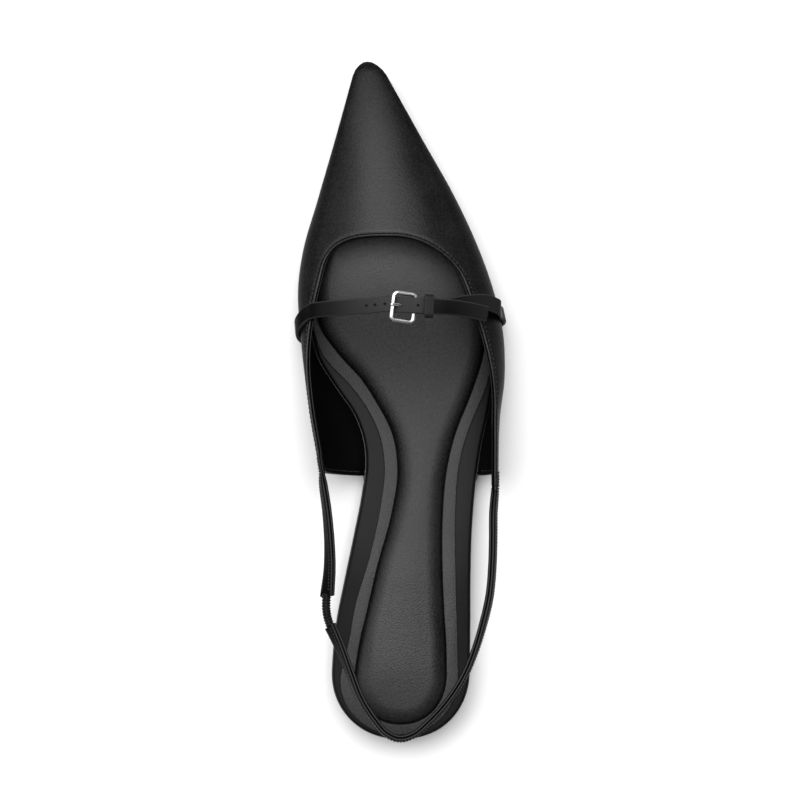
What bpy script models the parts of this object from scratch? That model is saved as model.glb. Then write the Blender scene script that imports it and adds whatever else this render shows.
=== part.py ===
"""A woman's right shoe: a pointed flat, cut away at the waist, with a thin buckled strap
over the instep and a sling strap round the heel.

+Y runs from heel to toe, +X to the lateral (outer) side and +Z up from the floor.
Sizes are in millimetres, measured from the back of the heel (y) and the heel's centre
line (x); the meshes are written in metres about the middle of the shoe's outline.
"""
import math

import bmesh
import bpy
import numpy as np

MM = 0.001
GAP = 0.3

# Whole shoe
LENGTH = 264.7
OUTLINE_MIDDLE = (-0.5, 132.25)

# Sole profile: a low heel, a waist that comes down to the tread, and a toe that lifts
HEEL_HEIGHT = 10.0
BREAST_Y = 60.0
TREAD_START = 150.0
TREAD_END = 188.0
TOE_SPRING = 7.0
SPRING_POWER = 1.8

# Thicknesses
OUTSOLE = 3.0
INSOLE = 2.4
SOCK = 0.8
PAD_RISE = 2.6
WALL = 2.0

# Round ends of the plan outlines
HEEL_ROUND = 27.0
HEEL_POWER = 2.15
NOSE = 5.5

# Sections of the upper
TUCK = 40.0
TUCK_LIFT = 0.45
QUARTER_BACK = {"feather": 102.5, "topline": 104.4}
TAB_START = 0.55
TAB_REACH = 7.0
SOLE_LIP = 0.2
LIP_RUN = 12.0

# Throat and topline
THROAT_SIDE_Y = 177.0
THROAT_DEPTH = 18.1
THROAT_POWER = {"med": 2.5, "lat": 2.1}

# Straps
STRAP_WIDTH = 6.0
BILLET_THICK = 1.6
BASE_THICK = 1.3
SLING_WIDTH = 7.0
SLING_THICK = 2.4
ELASTIC_WIDTH = 3.4
ELASTIC_THICK = 2.8

# Buckle: bar centres along and across the strap, and its place on the instep
WIRE = 0.8
PRONG_WIRE = 0.6
BUCKLE_HALF_LENGTH = 4.2
BUCKLE_HALF_WIDTH = 5.2
BUCKLE_CORNER = 1.5
BUCKLE_RISE = 1.2
BUCKLE_AT = np.array([-0.5, 168.2, 47.6])
BUCKLE_TURN = math.radians(-2.5)
FRAME_TURN = math.radians(-5.0)
FRAME_SHIFT = -0.8
KEEPER_AT = 9.6
KEEPER_WIDTH = 3.5
KEEPER_THICK = 1.0
KEEPER_ROOM = 0.9
KEEPER_LOW = -2.5
KEEPER_HIGH = 3.8
KEEPER_CORNER = 1.0

# How finely the shapes are divided
ROW_STEP = 9.0
HEEL_ROWS = 8
TOE_ROWS = 6
WALL_ROWS = 11
EDGE_CUT = 0.5
SHARP_ANGLE = math.radians(40)
MERGE = 1e-5

SIDES = ("med", "lat")
UPWARD = np.array([0.0, 0.0, 1.0])


class Table:
    """Rows of sizes; a column is read between its rows along a smooth cubic."""

    def __init__(self, columns, rows):
        self.columns = columns.split()
        self.rows = np.array(rows, float)

    def at(self, column, y):
        ys = self.rows[:, 0]
        values = self.rows[:, self.columns.index(column)]
        return smooth(ys, values, y)


def smooth(places, values, place):
    """Cubic through the values, with slopes taken from the neighbouring rows."""
    slopes = np.gradient(values, places, axis=0)
    place = min(max(place, places[0]), places[-1])
    k = int(np.clip(np.searchsorted(places, place) - 1, 0, len(places) - 2))
    step = places[k + 1] - places[k]
    t = (place - places[k]) / step
    start = (1 + 2 * t) * (1 - t) ** 2 * values[k] + t * (1 - t) ** 2 * step * slopes[k]
    end = t * t * (3 - 2 * t) * values[k + 1] + t * t * (t - 1) * step * slopes[k + 1]
    return start + end


def ease(t):
    t = min(max(t, 0.0), 1.0)
    return t * t * (3 - 2 * t)


# Edge of the insole, which is the bottom of the last
LAST_BOTTOM = Table("y med lat", (
    (0, -26.9, 26.6),
    (27, -26.9, 26.6),
    (45, -25.3, 26.8),
    (62, -22.0, 26.9),
    (80, -18.2, 27.4),
    (95, -15.2, 28.6),
    (107, -13.6, 30.1),
    (117, -14.5, 31.9),
    (127, -18.2, 34.2),
    (137, -25.0, 35.8),
    (149, -32.3, 36.6),
    (160, -35.0, 36.3),
    (175, -36.4, 32.9),
    (190, -34.6, 27.2),
    (210, -28.9, 18.0),
    (235, -22.1, 4.2),
    (264.7, -14.9, -11.5),
))

# Sections of the last above the sole: widest points, their heights, and the instep ridge
LAST = Table("y med lat med_z lat_z ridge_x ridge_z", (
    (92, -30.2, 37.2, 37.0, 20.0, 2.2, 74.0),
    (112, -33.4, 37.7, 36.5, 19.0, 1.5, 68.0),
    (125, -35.7, 38.4, 35.0, 18.0, 0.8, 62.0),
    (142, -38.0, 40.1, 30.0, 16.0, -0.2, 54.0),
    (158, -39.5, 39.7, 21.0, 14.5, -1.2, 47.5),
    (175, -40.4, 36.0, 15.0, 13.5, -2.6, 42.0),
    (190, -38.5, 30.8, 13.2, 13.0, -3.9, 37.4),
    (210, -32.8, 21.7, 13.0, 13.0, -5.7, 31.0),
    (235, -25.6, 7.7, 13.2, 13.2, -9.0, 23.6),
    (264.7, -17.4, -9.0, 14.2, 14.2, -13.2, 17.6),
))

# Topline: how far it stands above the widest line, in degrees round the section; the last row
# lies under the throat's front
TOPLINE = Table("y med lat", (
    (92, 0.0, 18.0),
    (104, 0.5, 18.5),
    (118, 2.0, 20.4),
    (130, 5.0, 24.2),
    (142, 10.4, 30.5),
    (153, 18.6, 36.4),
    (165, 28.6, 41.5),
    (177, 37.2, 45.4),
    (195, 42.0, 48.6),
))

# Sock: outer edge of its flat rim, and edge of the cushion that stands up inside the rim
SOCK_RIM = Table("y med lat", (
    (1, -23.9, 22.0),
    (24, -23.9, 22.0),
    (39, -20.5, 21.8),
    (52, -18.2, 21.4),
    (71, -12.6, 21.0),
    (91, -8.2, 21.2),
    (107, -6.6, 22.7),
    (120, -8.9, 26.3),
    (128, -12.7, 29.6),
    (137, -19.0, 33.4),
    (149, -30.0, 35.7),
    (160, -34.2, 35.6),
    (175, -35.6, 32.2),
    (190, -33.8, 26.5),
    (210, -28.1, 17.3),
    (235, -21.3, 3.5),
    (258, -15.8, -8.8),
))
PAD_EDGE = Table("y med lat", (
    (6, -17.5, 16.6),
    (24, -17.5, 16.6),
    (37, -15.6, 16.4),
    (50, -12.6, 15.6),
    (68, -8.4, 14.9),
    (88, -2.9, 15.2),
    (105, -0.5, 16.9),
    (120, -2.8, 20.7),
    (132, -8.9, 25.6),
    (141, -14.8, 29.0),
    (150, -23.0, 31.6),
    (160, -30.2, 32.4),
    (175, -33.0, 29.6),
    (190, -31.2, 24.0),
    (210, -25.4, 14.8),
    (232, -19.4, 2.6),
    (246, -16.0, -4.6),
))

# Ribs of the upper, from the back of the quarter to the middle of the vamp: how many, and
# where each run of ribs ends on the feather edge (place, angle) and on the topline
TIP_PLACE = LENGTH - NOSE + NOSE * math.pi / 2
RIB_RUNS = (
    {"count": 9, "feather": 165.0, "angle": -TUCK, "topline": 165.0},
    {"count": 11, "feather": LENGTH - NOSE, "angle": -TUCK, "topline": THROAT_SIDE_Y + 32},
    {"count": 4, "feather": TIP_PLACE, "angle": -TUCK, "topline": THROAT_SIDE_Y + 48},
    {"count": 6, "feather": TIP_PLACE, "angle": 90.0, "topline": THROAT_SIDE_Y + 90},
)


def sole_z(y):
    """Height of the outsole's underside above the floor."""
    if y < TREAD_START:
        return HEEL_HEIGHT * (1 - ease((y - BREAST_Y) / (TREAD_START - BREAST_Y)))
    rise = max(y - TREAD_END, 0) / (LENGTH - TREAD_END)
    return TOE_SPRING * rise ** SPRING_POWER


def feather_z(y):
    return sole_z(y) + OUTSOLE + GAP


class Outline:
    """A plan outline: two edges from a table, closed by a round heel end and a round toe."""

    def __init__(self, table, back, heel_round, front, nose):
        self.table = table
        self.back = back
        self.heel_round = heel_round
        self.front = front
        self.nose = nose

    def fullness(self, y):
        behind = max(self.back + self.heel_round - y, 0) / self.heel_round
        ahead = max(y - self.front + self.nose, 0) / self.nose
        heel = max(1 - behind ** HEEL_POWER, 0) ** (1 / HEEL_POWER)
        return heel * math.sqrt(max(1 - ahead ** 2, 0))

    def edge(self, side, y):
        middle = sum(self.table.at(s, y) for s in SIDES) / 2
        return middle + (self.table.at(side, y) - middle) * self.fullness(y)

    def rows(self):
        heel = [self.back + self.heel_round * (1 - math.cos(a))
                for a in np.linspace(0, math.pi / 2, HEEL_ROWS)]
        start, end = self.back + self.heel_round, self.front - self.nose
        middle = np.linspace(start, end, int((end - start) / ROW_STEP) + 2)[1:-1]
        toe = [end + self.nose * math.sin(a) for a in np.linspace(0, math.pi / 2, TOE_ROWS)]
        return [*heel, *middle, *toe]

    def side(self, side, ys, offset, height):
        """Points along one edge, moved outwards by offset(y), at height(y)."""
        plan = np.array([(self.edge(side, y), y) for y in ys])
        along = np.gradient(plan, axis=0)
        turn = np.array([-1, 1]) if side == "med" else np.array([1, -1])
        outward = along[:, ::-1] * turn
        outward /= np.linalg.norm(outward, axis=1)[:, None]
        for k in (0, -1):
            if self.fullness(ys[k]) < MERGE:
                outward[k] = (0, -1 if k == 0 else 1)
        plan = plan + outward * np.array([[offset(y)] for y in ys])
        return np.array([(x, y, height(y)) for x, y in plan])

    def loop(self, ys, offset, height):
        return [self.side(side, ys, offset, height) for side in SIDES]


def material(name, colour, roughness, metallic=0.0):
    made = bpy.data.materials.new(name)
    made.use_nodes = True
    shader = made.node_tree.nodes["Principled BSDF"]
    shader.inputs["Base Color"].default_value = (*colour, 1)
    shader.inputs["Roughness"].default_value = roughness
    shader.inputs["Metallic"].default_value = metallic
    return made


def solid(name, bm, surface):
    """Close the mesh, turn its faces outwards, and make an object of it."""
    bmesh.ops.remove_doubles(bm, verts=bm.verts, dist=MERGE)
    bmesh.ops.dissolve_degenerate(bm, edges=bm.edges, dist=MERGE)
    bmesh.ops.recalc_face_normals(bm, faces=bm.faces)
    bmesh.ops.scale(bm, verts=bm.verts, vec=(MM, MM, MM))
    mesh = bpy.data.meshes.new(name)
    bm.to_mesh(mesh)
    bm.free()
    mesh.shade_smooth()
    mesh.set_sharp_from_angle(angle=SHARP_ANGLE)
    made = bpy.data.objects.new(name, mesh)
    mesh.materials.append(surface)
    bpy.context.scene.collection.objects.link(made)
    return made


def join_rings(bm, rings, closed=False):
    """Skin between rings of points that have the same count."""
    loops = [[bm.verts.new(point) for point in ring] for ring in rings]
    pairs = list(zip(loops, loops[1:]))
    if closed:
        pairs.append((loops[-1], loops[0]))
    for low, high in pairs:
        for k in range(len(low)):
            after = (k + 1) % len(low)
            bm.faces.new((low[k], low[after], high[after], high[k]))
    return loops


def plate(name, outline_loops, surface):
    """A layer of the sole: loops stacked from its underside to its top, closed in strips."""
    bm = bmesh.new()
    rings = [[*med, *lat[::-1]] for med, lat in outline_loops]
    loops = join_rings(bm, rings)
    for ring in (loops[0], loops[-1]):
        for k in range(len(ring) // 2 - 1):
            bm.faces.new((ring[k], ring[k + 1], ring[-k - 2], ring[-k - 1]))
    return solid(name, bm, surface)


def sweep(name, points, faces_out, width, thick, surface, steps, closed=False):
    """A flat strap along a smooth path; faces_out gives the way its face looks at each point."""
    points = np.array(points, float)
    faces_out = np.array(faces_out, float)
    if closed:
        points = np.vstack((points, points[:1]))
        faces_out = np.vstack((faces_out, faces_out[:1]))
    places = np.concatenate(([0], np.cumsum(np.linalg.norm(np.diff(points, axis=0), axis=1))))
    stations = np.linspace(0, places[-1], steps + 1)
    if closed:
        path = np.array([np.interp(stations, places, points[:, k]) for k in range(3)]).T[:-1]
        looks = np.array([np.interp(stations, places, faces_out[:, k]) for k in range(3)]).T[:-1]
        along = np.roll(path, -1, axis=0) - np.roll(path, 1, axis=0)
    else:
        path = np.array([smooth(places, points, s) for s in stations])
        looks = np.array([smooth(places, faces_out, s) for s in stations])
        along = np.gradient(path, axis=0)
    across = np.cross(looks, along)
    across /= np.linalg.norm(across, axis=1)[:, None]
    out = np.cross(along, across)
    out /= np.linalg.norm(out, axis=1)[:, None]
    half, deep = width / 2, thick / 2
    cut = EDGE_CUT * deep
    section = ((half, deep - cut), (half - cut, deep), (cut - half, deep), (-half, deep - cut),
               (-half, cut - deep), (cut - half, -deep), (half - cut, -deep), (half, cut - deep))
    rings = [[p + a * u + o * v for u, v in section] for p, a, o in zip(path, across, out)]
    bm = bmesh.new()
    loops = join_rings(bm, rings, closed)
    if not closed:
        bm.faces.new(loops[0])
        bm.faces.new(loops[-1])
    return solid(name, bm, surface)


def wire(name, points, radius, surface, closed=False):
    """A round wire through a list of points."""
    curve = bpy.data.curves.new(name, "CURVE")
    curve.dimensions = "3D"
    curve.bevel_depth = radius * MM
    curve.bevel_resolution = 2
    curve.use_fill_caps = not closed
    spline = curve.splines.new("POLY")
    spline.points.add(len(points) - 1)
    spline.use_cyclic_u = closed
    for spot, (x, y, z) in zip(spline.points, points):
        spot.co = (x * MM, y * MM, z * MM, 1)
    curve.materials.append(surface)
    made = bpy.data.objects.new(name, curve)
    bpy.context.scene.collection.objects.link(made)
    return made


# Upper: a wall over the last, from the feather edge to the topline

def nose_place(place):
    """Y and remaining fullness at a place counted along the last, round the nose at its end."""
    start = LENGTH - NOSE
    if place <= start:
        return place, 1.0
    turn = (place - start) / NOSE
    return start + NOSE * math.sin(turn), math.cos(turn)


def feather_x(side, y):
    """Outer foot of the wall: the insole's edge plus the clearance and the wall."""
    slope = (LAST_BOTTOM.at(side, y + 0.5) - LAST_BOTTOM.at(side, y - 0.5))
    reach = (GAP + WALL) * math.hypot(1, slope)
    return LAST_BOTTOM.at(side, y) + (-reach if side == "med" else reach)


def last_point(place, angle):
    """Point of the upper's outside: angle 0 is the medial widest line, 90 the ridge, 180 the
    lateral widest line; below 0 and above 180 the wall tucks in to the feather edge."""
    y, fullness = nose_place(place)
    side = "med" if angle <= 90 else "lat"
    rise = angle if side == "med" else 180 - angle
    wide_x, wide_z = LAST.at(side, y), LAST.at(side + "_z", y)
    ridge_x, ridge_z = LAST.at("ridge_x", y), LAST.at("ridge_z", y)
    foot_x, foot_z = feather_x(side, y), feather_z(y)
    if rise >= 0:
        x = ridge_x + (wide_x - ridge_x) * math.cos(math.radians(rise))
        z = wide_z + (ridge_z - wide_z) * math.sin(math.radians(rise))
    else:
        t = 1 + rise / TUCK
        bend_z = foot_z + TUCK_LIFT * (wide_z - foot_z)
        x = (1 - t) ** 2 * foot_x + (1 - (1 - t) ** 2) * wide_x
        z = (1 - t) ** 2 * foot_z + 2 * t * (1 - t) * bend_z + t * t * wide_z
    x = ridge_x + (x - ridge_x) * fullness
    z = foot_z + (z - foot_z) * fullness
    return np.array([x, y, z])


def last_normal(place, angle):
    """Outward direction of the last; level at the feather edge and straight ahead at the tip."""
    if place > TIP_PLACE - 0.01:
        return np.array([0.0, 1.0, 0.0])
    step = 0.005
    along = last_point(place + step, angle) - last_point(place - step, angle)
    round_it = last_point(place, angle + step) - last_point(place, angle - step)
    normal = np.cross(round_it, along)
    normal /= np.linalg.norm(normal)
    point = last_point(place, angle)
    normal[2] *= ease((point[2] - feather_z(point[1])) / (2 * WALL))
    return normal / np.linalg.norm(normal)


def topline_at(side, place):
    """Place and angle on the last: along the side, then round the throat in degrees."""
    y, fullness = place, 1.0
    if place > THROAT_SIDE_Y:
        turn = math.radians(place - THROAT_SIDE_Y)
        power = 2 / THROAT_POWER[side]
        y = THROAT_SIDE_Y + THROAT_DEPTH * math.sin(turn) ** power
        fullness = max(math.cos(turn), 0.0) ** power
    rise = math.radians(TOPLINE.at(side, y))
    rise = math.degrees(math.acos(math.cos(rise) * fullness))
    return y, rise if side == "med" else 180 - rise


def rib_ends(side):
    """Feather and topline ends of each rib, from the quarter's back to the vamp's middle."""
    def mirror(angle):
        return angle if side == "med" else 180 - angle

    feather, angle, top = QUARTER_BACK["feather"], -TUCK, QUARTER_BACK["topline"]
    ends = [((feather, mirror(angle)), topline_at(side, top))]
    for run in RIB_RUNS:
        for k in range(1, run["count"] + 1):
            t = k / run["count"]
            place = feather + t * (run["feather"] - feather)
            foot = (place, mirror(angle + t * (run["angle"] - angle)))
            ends.append((foot, topline_at(side, top + t * (run["topline"] - top))))
        feather, angle, top = run["feather"], run["angle"], run["topline"]
    return ends


def rib_ring(foot, head, tab):
    """Closed loop round the wall along one rib: up its outside and down its inside."""
    def on_rib(w):
        pull = tab * ease((w - TAB_START) / (1 - TAB_START))
        return foot[0] + w * (head[0] - foot[0]) - pull, foot[1] + w * (head[1] - foot[1])

    rows = [1 - math.sin(math.pi / 2 * k / WALL_ROWS) for k in range(WALL_ROWS + 1)]
    outside, inside = [], []
    for w in rows:
        place, angle = on_rib(w)
        point, normal = last_point(place, angle), last_normal(place, angle)
        outside.append(point)
        inside.append(point - normal * WALL)
    return [*outside[::-1], *inside]


def make_upper(surface):
    rings = []
    for side in SIDES:
        ends = rib_ends(side)
        tab_ribs = RIB_RUNS[0]["count"] // 2
        half = []
        for k, (foot, head) in enumerate(ends):
            tab = TAB_REACH * ease(1 - k / tab_ribs) if side == "lat" else 0.0
            half.append(rib_ring(foot, head, tab))
        rings += half if side == "med" else half[-2::-1]
    bm = bmesh.new()
    loops = join_rings(bm, rings)
    bm.faces.new(loops[0])
    bm.faces.new(loops[-1])
    return solid("upper", bm, surface)


# Sole: outsole, heel block, wrapped insole board and the sock with its cushion

INSOLE_OUTLINE = Outline(LAST_BOTTOM, back=0.0, heel_round=HEEL_ROUND, front=261.9, nose=5.0)
SOCK_OUTLINE = Outline(SOCK_RIM, back=1.9, heel_round=24.0, front=254.0, nose=6.0)
PAD_OUTLINE = Outline(PAD_EDGE, back=6.8, heel_round=19.0, front=242.0, nose=8.0)

# Edge profiles from the underside up: how far in from the outline, and how far up
OUTSOLE_EDGE = (
    {"inset": 0.5, "up": 0.0},
    {"inset": 0.0, "up": 0.5},
    {"inset": 0.0, "up": OUTSOLE - 0.25},
    {"inset": 0.25, "up": OUTSOLE},
)
HEEL_EDGE = (
    {"inset": 2.4, "up": 0.0},
    {"inset": 2.0, "up": 0.4},
    {"inset": 0.6, "up": HEEL_HEIGHT - GAP},
)
INSOLE_EDGE = (
    {"inset": 0.2, "up": 0.0},
    {"inset": 0.0, "up": 0.3},
    {"inset": 0.0, "up": INSOLE - 0.8},
    {"inset": 0.25, "up": INSOLE - 0.25},
    {"inset": 0.8, "up": INSOLE},
)
SOCK_EDGE = (
    {"inset": 0.0, "up": 0.0},
    {"inset": 0.0, "up": SOCK - 0.2},
    {"inset": 0.3, "up": SOCK},
)
CUSHION_EDGE = (
    {"inset": 0.0, "up": SOCK - 0.3},
    {"inset": 0.6, "up": SOCK + 0.55 * PAD_RISE},
    {"inset": 2.2, "up": SOCK + 0.9 * PAD_RISE},
    {"inset": 5.0, "up": SOCK + PAD_RISE},
)


def sole_reach(y):
    """How far the outsole stands out past the insole: it carries the upper's wall from the waist on."""
    carried = ease((y - QUARTER_BACK["feather"] + LIP_RUN) / LIP_RUN)
    return SOLE_LIP + (GAP + WALL) * carried


def edge_loops(outline, ys, profile, height, reach=lambda y: 0.0):
    """The outline once for each step of an edge profile."""
    loops = []
    for step in profile:
        loops.append(outline.loop(ys, lambda y: reach(y) - step["inset"],
                                  lambda y: height(y) + step["up"]))
    return loops


def make_outsole(surface):
    ys = INSOLE_OUTLINE.rows()
    return plate("outsole", edge_loops(INSOLE_OUTLINE, ys, OUTSOLE_EDGE, sole_z, sole_reach), surface)


def make_heel(surface):
    arc = [y for y in INSOLE_OUTLINE.rows() if y < HEEL_ROUND]
    straight = np.linspace(HEEL_ROUND, BREAST_Y, 5)
    loops = edge_loops(INSOLE_OUTLINE, [*arc, *straight], HEEL_EDGE, lambda y: 0.0)
    return plate("heel", loops, surface)


def make_insole(surface):
    ys = INSOLE_OUTLINE.rows()
    return plate("insole", edge_loops(INSOLE_OUTLINE, ys, INSOLE_EDGE, feather_z), surface)


def sock_z(y):
    return feather_z(y) + INSOLE + GAP


def make_sock(surface):
    """The sock's rim and cushion share one mesh, so both outlines get the same count of rows."""
    rim_ys, pad_ys = SOCK_OUTLINE.rows(), PAD_OUTLINE.rows()
    share = np.linspace(0, 1, min(len(rim_ys), len(pad_ys)))
    rim_ys = np.interp(share, np.linspace(0, 1, len(rim_ys)), rim_ys)
    pad_ys = np.interp(share, np.linspace(0, 1, len(pad_ys)), pad_ys)
    rim = edge_loops(SOCK_OUTLINE, rim_ys, SOCK_EDGE, sock_z)
    cushion = edge_loops(PAD_OUTLINE, pad_ys, CUSHION_EDGE, sock_z)
    return plate("sock_pad", [*rim, *cushion], surface)


# Straps: each route runs up the wall (place along the last, degrees above its widest line), over
# free points (x, y, z, and sideways tilt of the face), and past the buckle (along it, and up)

BILLET_WALL = ((157.5, -30.0), (159.0, -12.0), (161.0, 4.0), (163.3, 17.0), (165.2, 26.0))
BILLET_RISE = (
    (-33.8, 166.6, 36.4, -0.55),
    (-28.6, 167.0, 39.8, -0.42),
    (-20.5, 167.6, 43.4, -0.28),
    (-13.0, 168.0, 45.7, -0.15),
)
BILLET_BUCKLE = ((-7.5, -0.9), (-4.3, -0.75), (0.0, 0.8), (4.3, 2.45), (7.6, 2.5), (11.6, 2.15))
BILLET_TAIL = (
    (20.5, 167.0, 48.0, 0.16),
    (27.0, 165.9, 46.2, 0.26),
    (31.5, 164.8, 44.4, 0.34),
)
BILLET_STEPS = 64

BASE_WALL = ((164.0, -30.0), (164.5, -12.0), (165.2, 4.0), (166.2, 16.0))
BASE_RISE = (
    (36.0, 168.2, 34.6, 1.3),
    (31.2, 169.6, 39.6, 0.95),
    (23.5, 169.2, 43.6, 0.5),
)
BASE_BUCKLE = ((15.0, -1.2), (11.6, -1.05), (8.0, -1.3))
BASE_FOLD = ((7.6, 0.55), (11.8, 0.5))
BASE_STEPS = 72

KEEPER_STEPS = 36

# Slots cut through the straps for the prong: two corners (along, up) and a width
BILLET_HOLE = {"low": (-2.6, -1.6), "high": (1.6, 3.2), "width": 1.9}
BASE_SLOT = {"low": (1.2, -4.0), "high": (7.0, 1.6), "width": 2.2}

# The prong's way from the hinge bar to the front bar: along, and below its rest on that bar
PRONG_WAY = ((0.0, 2.55), (-3.0, 0.75), (-4.3, 0.0), (-5.2, -0.1))


def on_wall(place, angle, lift):
    """Point and outward direction at a height above the upper's outside."""
    normal = last_normal(place, angle)
    return last_point(place, angle) + normal * lift, normal


def tilted(rows):
    """Free points of a strap with the way its face looks."""
    return [(np.array([x, y, z]), UPWARD + np.array([tilt, 0, 0])) for x, y, z, tilt in rows]


def at_buckle(along, across, up):
    """Point in the buckle's own frame: along the strap, towards the toe, and up."""
    c, s = math.cos(BUCKLE_TURN), math.sin(BUCKLE_TURN)
    return BUCKLE_AT + np.array([c * along - s * across, s * along + c * across, up])


def make_billet(surface):
    lift = GAP + BILLET_THICK / 2
    route = [on_wall(place, rise, lift) for place, rise in BILLET_WALL]
    route += tilted(BILLET_RISE)
    route += [(at_buckle(along, 0, up), UPWARD) for along, up in BILLET_BUCKLE]
    route += tilted(BILLET_TAIL)
    points, looks = zip(*route)
    return sweep("strap_billet", points, looks, STRAP_WIDTH, BILLET_THICK, surface, BILLET_STEPS)


def make_base_strap(surface):
    lift = 2 * GAP + BASE_THICK / 2
    route = [on_wall(place, 180 - rise, lift) for place, rise in BASE_WALL]
    route += tilted(BASE_RISE)
    route += [(at_buckle(along, 0, up), UPWARD) for along, up in BASE_BUCKLE]
    turn = WIRE + GAP + BASE_THICK / 2
    for degrees in (-90, -135, 180, 135, 90):
        c, s = math.cos(math.radians(degrees)), math.sin(math.radians(degrees))
        place = at_buckle(BUCKLE_HALF_LENGTH + turn * c, 0, turn * s - BUCKLE_RISE)
        outward = at_buckle(c, 0, s) - BUCKLE_AT
        route.append((place, -outward))
    route += [(at_buckle(along, 0, up), -UPWARD) for along, up in BASE_FOLD]
    points, looks = zip(*route)
    return sweep("strap_base", points, looks, STRAP_WIDTH, BASE_THICK, surface, BASE_STEPS)


def round_corners(half_a, low_b, high_b, corner, count):
    """Rounded rectangle from -half_a to half_a and from low_b to high_b: points and outward ways."""
    corners = ((half_a, high_b, 0), (-half_a, high_b, 90), (-half_a, low_b, 180), (half_a, low_b, 270))
    for a, b, start in corners:
        inner_a = a - math.copysign(corner, a)
        inner_b = b - corner if b == high_b else b + corner
        for degrees in np.linspace(start, start + 90, count):
            c, s = math.cos(math.radians(degrees)), math.sin(math.radians(degrees))
            yield inner_a + corner * c, inner_b + corner * s, c, s


def make_keeper(surface):
    """A leather loop round the layers of strap beside the buckle."""
    points, looks = [], []
    half = STRAP_WIDTH / 2 + KEEPER_ROOM
    for across, up, c, s in round_corners(half, KEEPER_LOW, KEEPER_HIGH, KEEPER_CORNER, 4):
        points.append(at_buckle(KEEPER_AT, across, up))
        looks.append(at_buckle(0, c, s) - BUCKLE_AT)
    return sweep("strap_keeper", points, looks, KEEPER_WIDTH, KEEPER_THICK, surface, KEEPER_STEPS,
                 closed=True)


def make_buckle(surface):
    """A rectangular wire frame, higher at its front bar, where the prong rests."""
    points = []
    c, s = math.cos(FRAME_TURN), math.sin(FRAME_TURN)
    length, width = BUCKLE_HALF_LENGTH, BUCKLE_HALF_WIDTH
    for along, across, *_ in round_corners(length, -width, width, BUCKLE_CORNER, 5):
        points.append(at_buckle(c * along - s * across, s * along + c * across + FRAME_SHIFT,
                                -BUCKLE_RISE * along / length))
    return wire("buckle_frame", points, WIRE, surface, closed=True)


def make_prong(surface):
    """A pin that hooks round the hinge bar and comes up through the billet onto the front bar."""
    hook = WIRE + GAP + PRONG_WIRE
    points = []
    for degrees in np.linspace(-60, 180, 12):
        c, s = math.cos(math.radians(degrees)), math.sin(math.radians(degrees))
        points.append(at_buckle(BUCKLE_HALF_LENGTH + hook * c, 0, -BUCKLE_RISE + hook * s))
    rest = BUCKLE_RISE + WIRE + GAP + PRONG_WIRE
    for along, below in PRONG_WAY:
        points.append(at_buckle(along, 0, rest - below))
    return wire("buckle_prong", points, PRONG_WIRE, surface)


def cut(target, cutter):
    """Take the cutter's shape out of the target and keep the cutter as a guide."""
    cutter.hide_render = True
    cutter.display_type = "WIRE"
    change = target.modifiers.new("slot", "BOOLEAN")
    change.operation = "DIFFERENCE"
    change.solver = "EXACT"
    change.object = cutter


def slot_cutter(name, slot, surface):
    """A box across the buckle's middle, from one corner to the other."""
    bm = bmesh.new()
    bmesh.ops.create_cube(bm, size=1.0)
    for vert in bm.verts:
        along, up = (slot["low"][k] if vert.co[2 * k] < 0 else slot["high"][k] for k in (0, 1))
        vert.co = at_buckle(along, vert.co.y * slot["width"], up)
    return solid(name, bm, surface)


def sling(name, table, width, thick, surface, steps):
    """An upright strap; the table gives its top edge and how far its face leans outwards."""
    points, looks = [], []
    rows = np.array(table, float)
    along = np.gradient(rows[:, :2], axis=0)
    for (x, y, z, lean), (dx, dy) in zip(rows, along):
        outward = np.array([dy, -dx]) / math.hypot(dx, dy)
        if outward @ (np.array([x, y]) - SLING_MIDDLE) < 0:
            outward = -outward
        c, s = math.cos(math.radians(lean)), math.sin(math.radians(lean))
        face = np.array([outward[0] * c, outward[1] * c, s])
        down = np.array([outward[0] * s, outward[1] * s, -c])
        points.append(np.array([x, y, z]) + down * width / 2)
        looks.append(face)
    return sweep(name, points, looks, width, thick, surface, steps)


# Top edge of each piece of the sling: x, y, z, and lean of its face in degrees
SLING_MIDDLE = np.array([0.0, 45.0])
SLING_FRONT = (
    (-31.1, 103.3, 36.0, 6),
    (-30.3, 100.0, 36.4, 8),
    (-28.7, 90.0, 39.0, 13),
    (-27.6, 79.0, 41.7, 17),
    (-27.1, 68.0, 44.4, 24),
    (-27.5, 57.4, 47.0, 35),
)
SLING_ELASTIC = (
    (-29.2, 56.6, 46.0, 20),
    (-29.3, 53.0, 46.5, 20),
    (-28.9, 50.0, 46.9, 20),
    (-28.1, 47.4, 47.3, 20),
)
SLING_BACK = (
    (-27.0, 46.8, 49.2, 25),
    (-23.6, 38.5, 51.0, 18),
    (-20.0, 28.3, 53.2, 12),
    (-16.2, 18.7, 54.8, 9),
    (-11.0, 10.8, 56.0, 8),
    (-7.0, 6.4, 56.4, 8),
    (-2.2, 4.5, 56.5, 8),
    (2.5, 5.7, 56.4, 8),
    (8.2, 10.2, 55.8, 8),
    (15.6, 18.1, 54.6, 8),
    (22.0, 27.7, 52.8, 9),
    (26.1, 37.2, 51.0, 10),
    (29.1, 46.8, 49.0, 12),
    (31.7, 57.5, 46.6, 13),
    (32.9, 68.3, 44.0, 13),
    (33.4, 79.0, 41.6, 13),
    (33.6, 88.0, 39.6, 13),
    (33.8, 96.0, 37.8, 12),
)


def place_shoe():
    """Hang every piece on one empty that puts the outline's middle at the origin."""
    shoe = bpy.data.objects.new("shoe", None)
    for piece in list(bpy.data.objects):
        if piece is not shoe:
            piece.parent = shoe
    shoe.location = (-OUTLINE_MIDDLE[0] * MM, -OUTLINE_MIDDLE[1] * MM, 0)
    bpy.context.scene.collection.objects.link(shoe)


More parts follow.
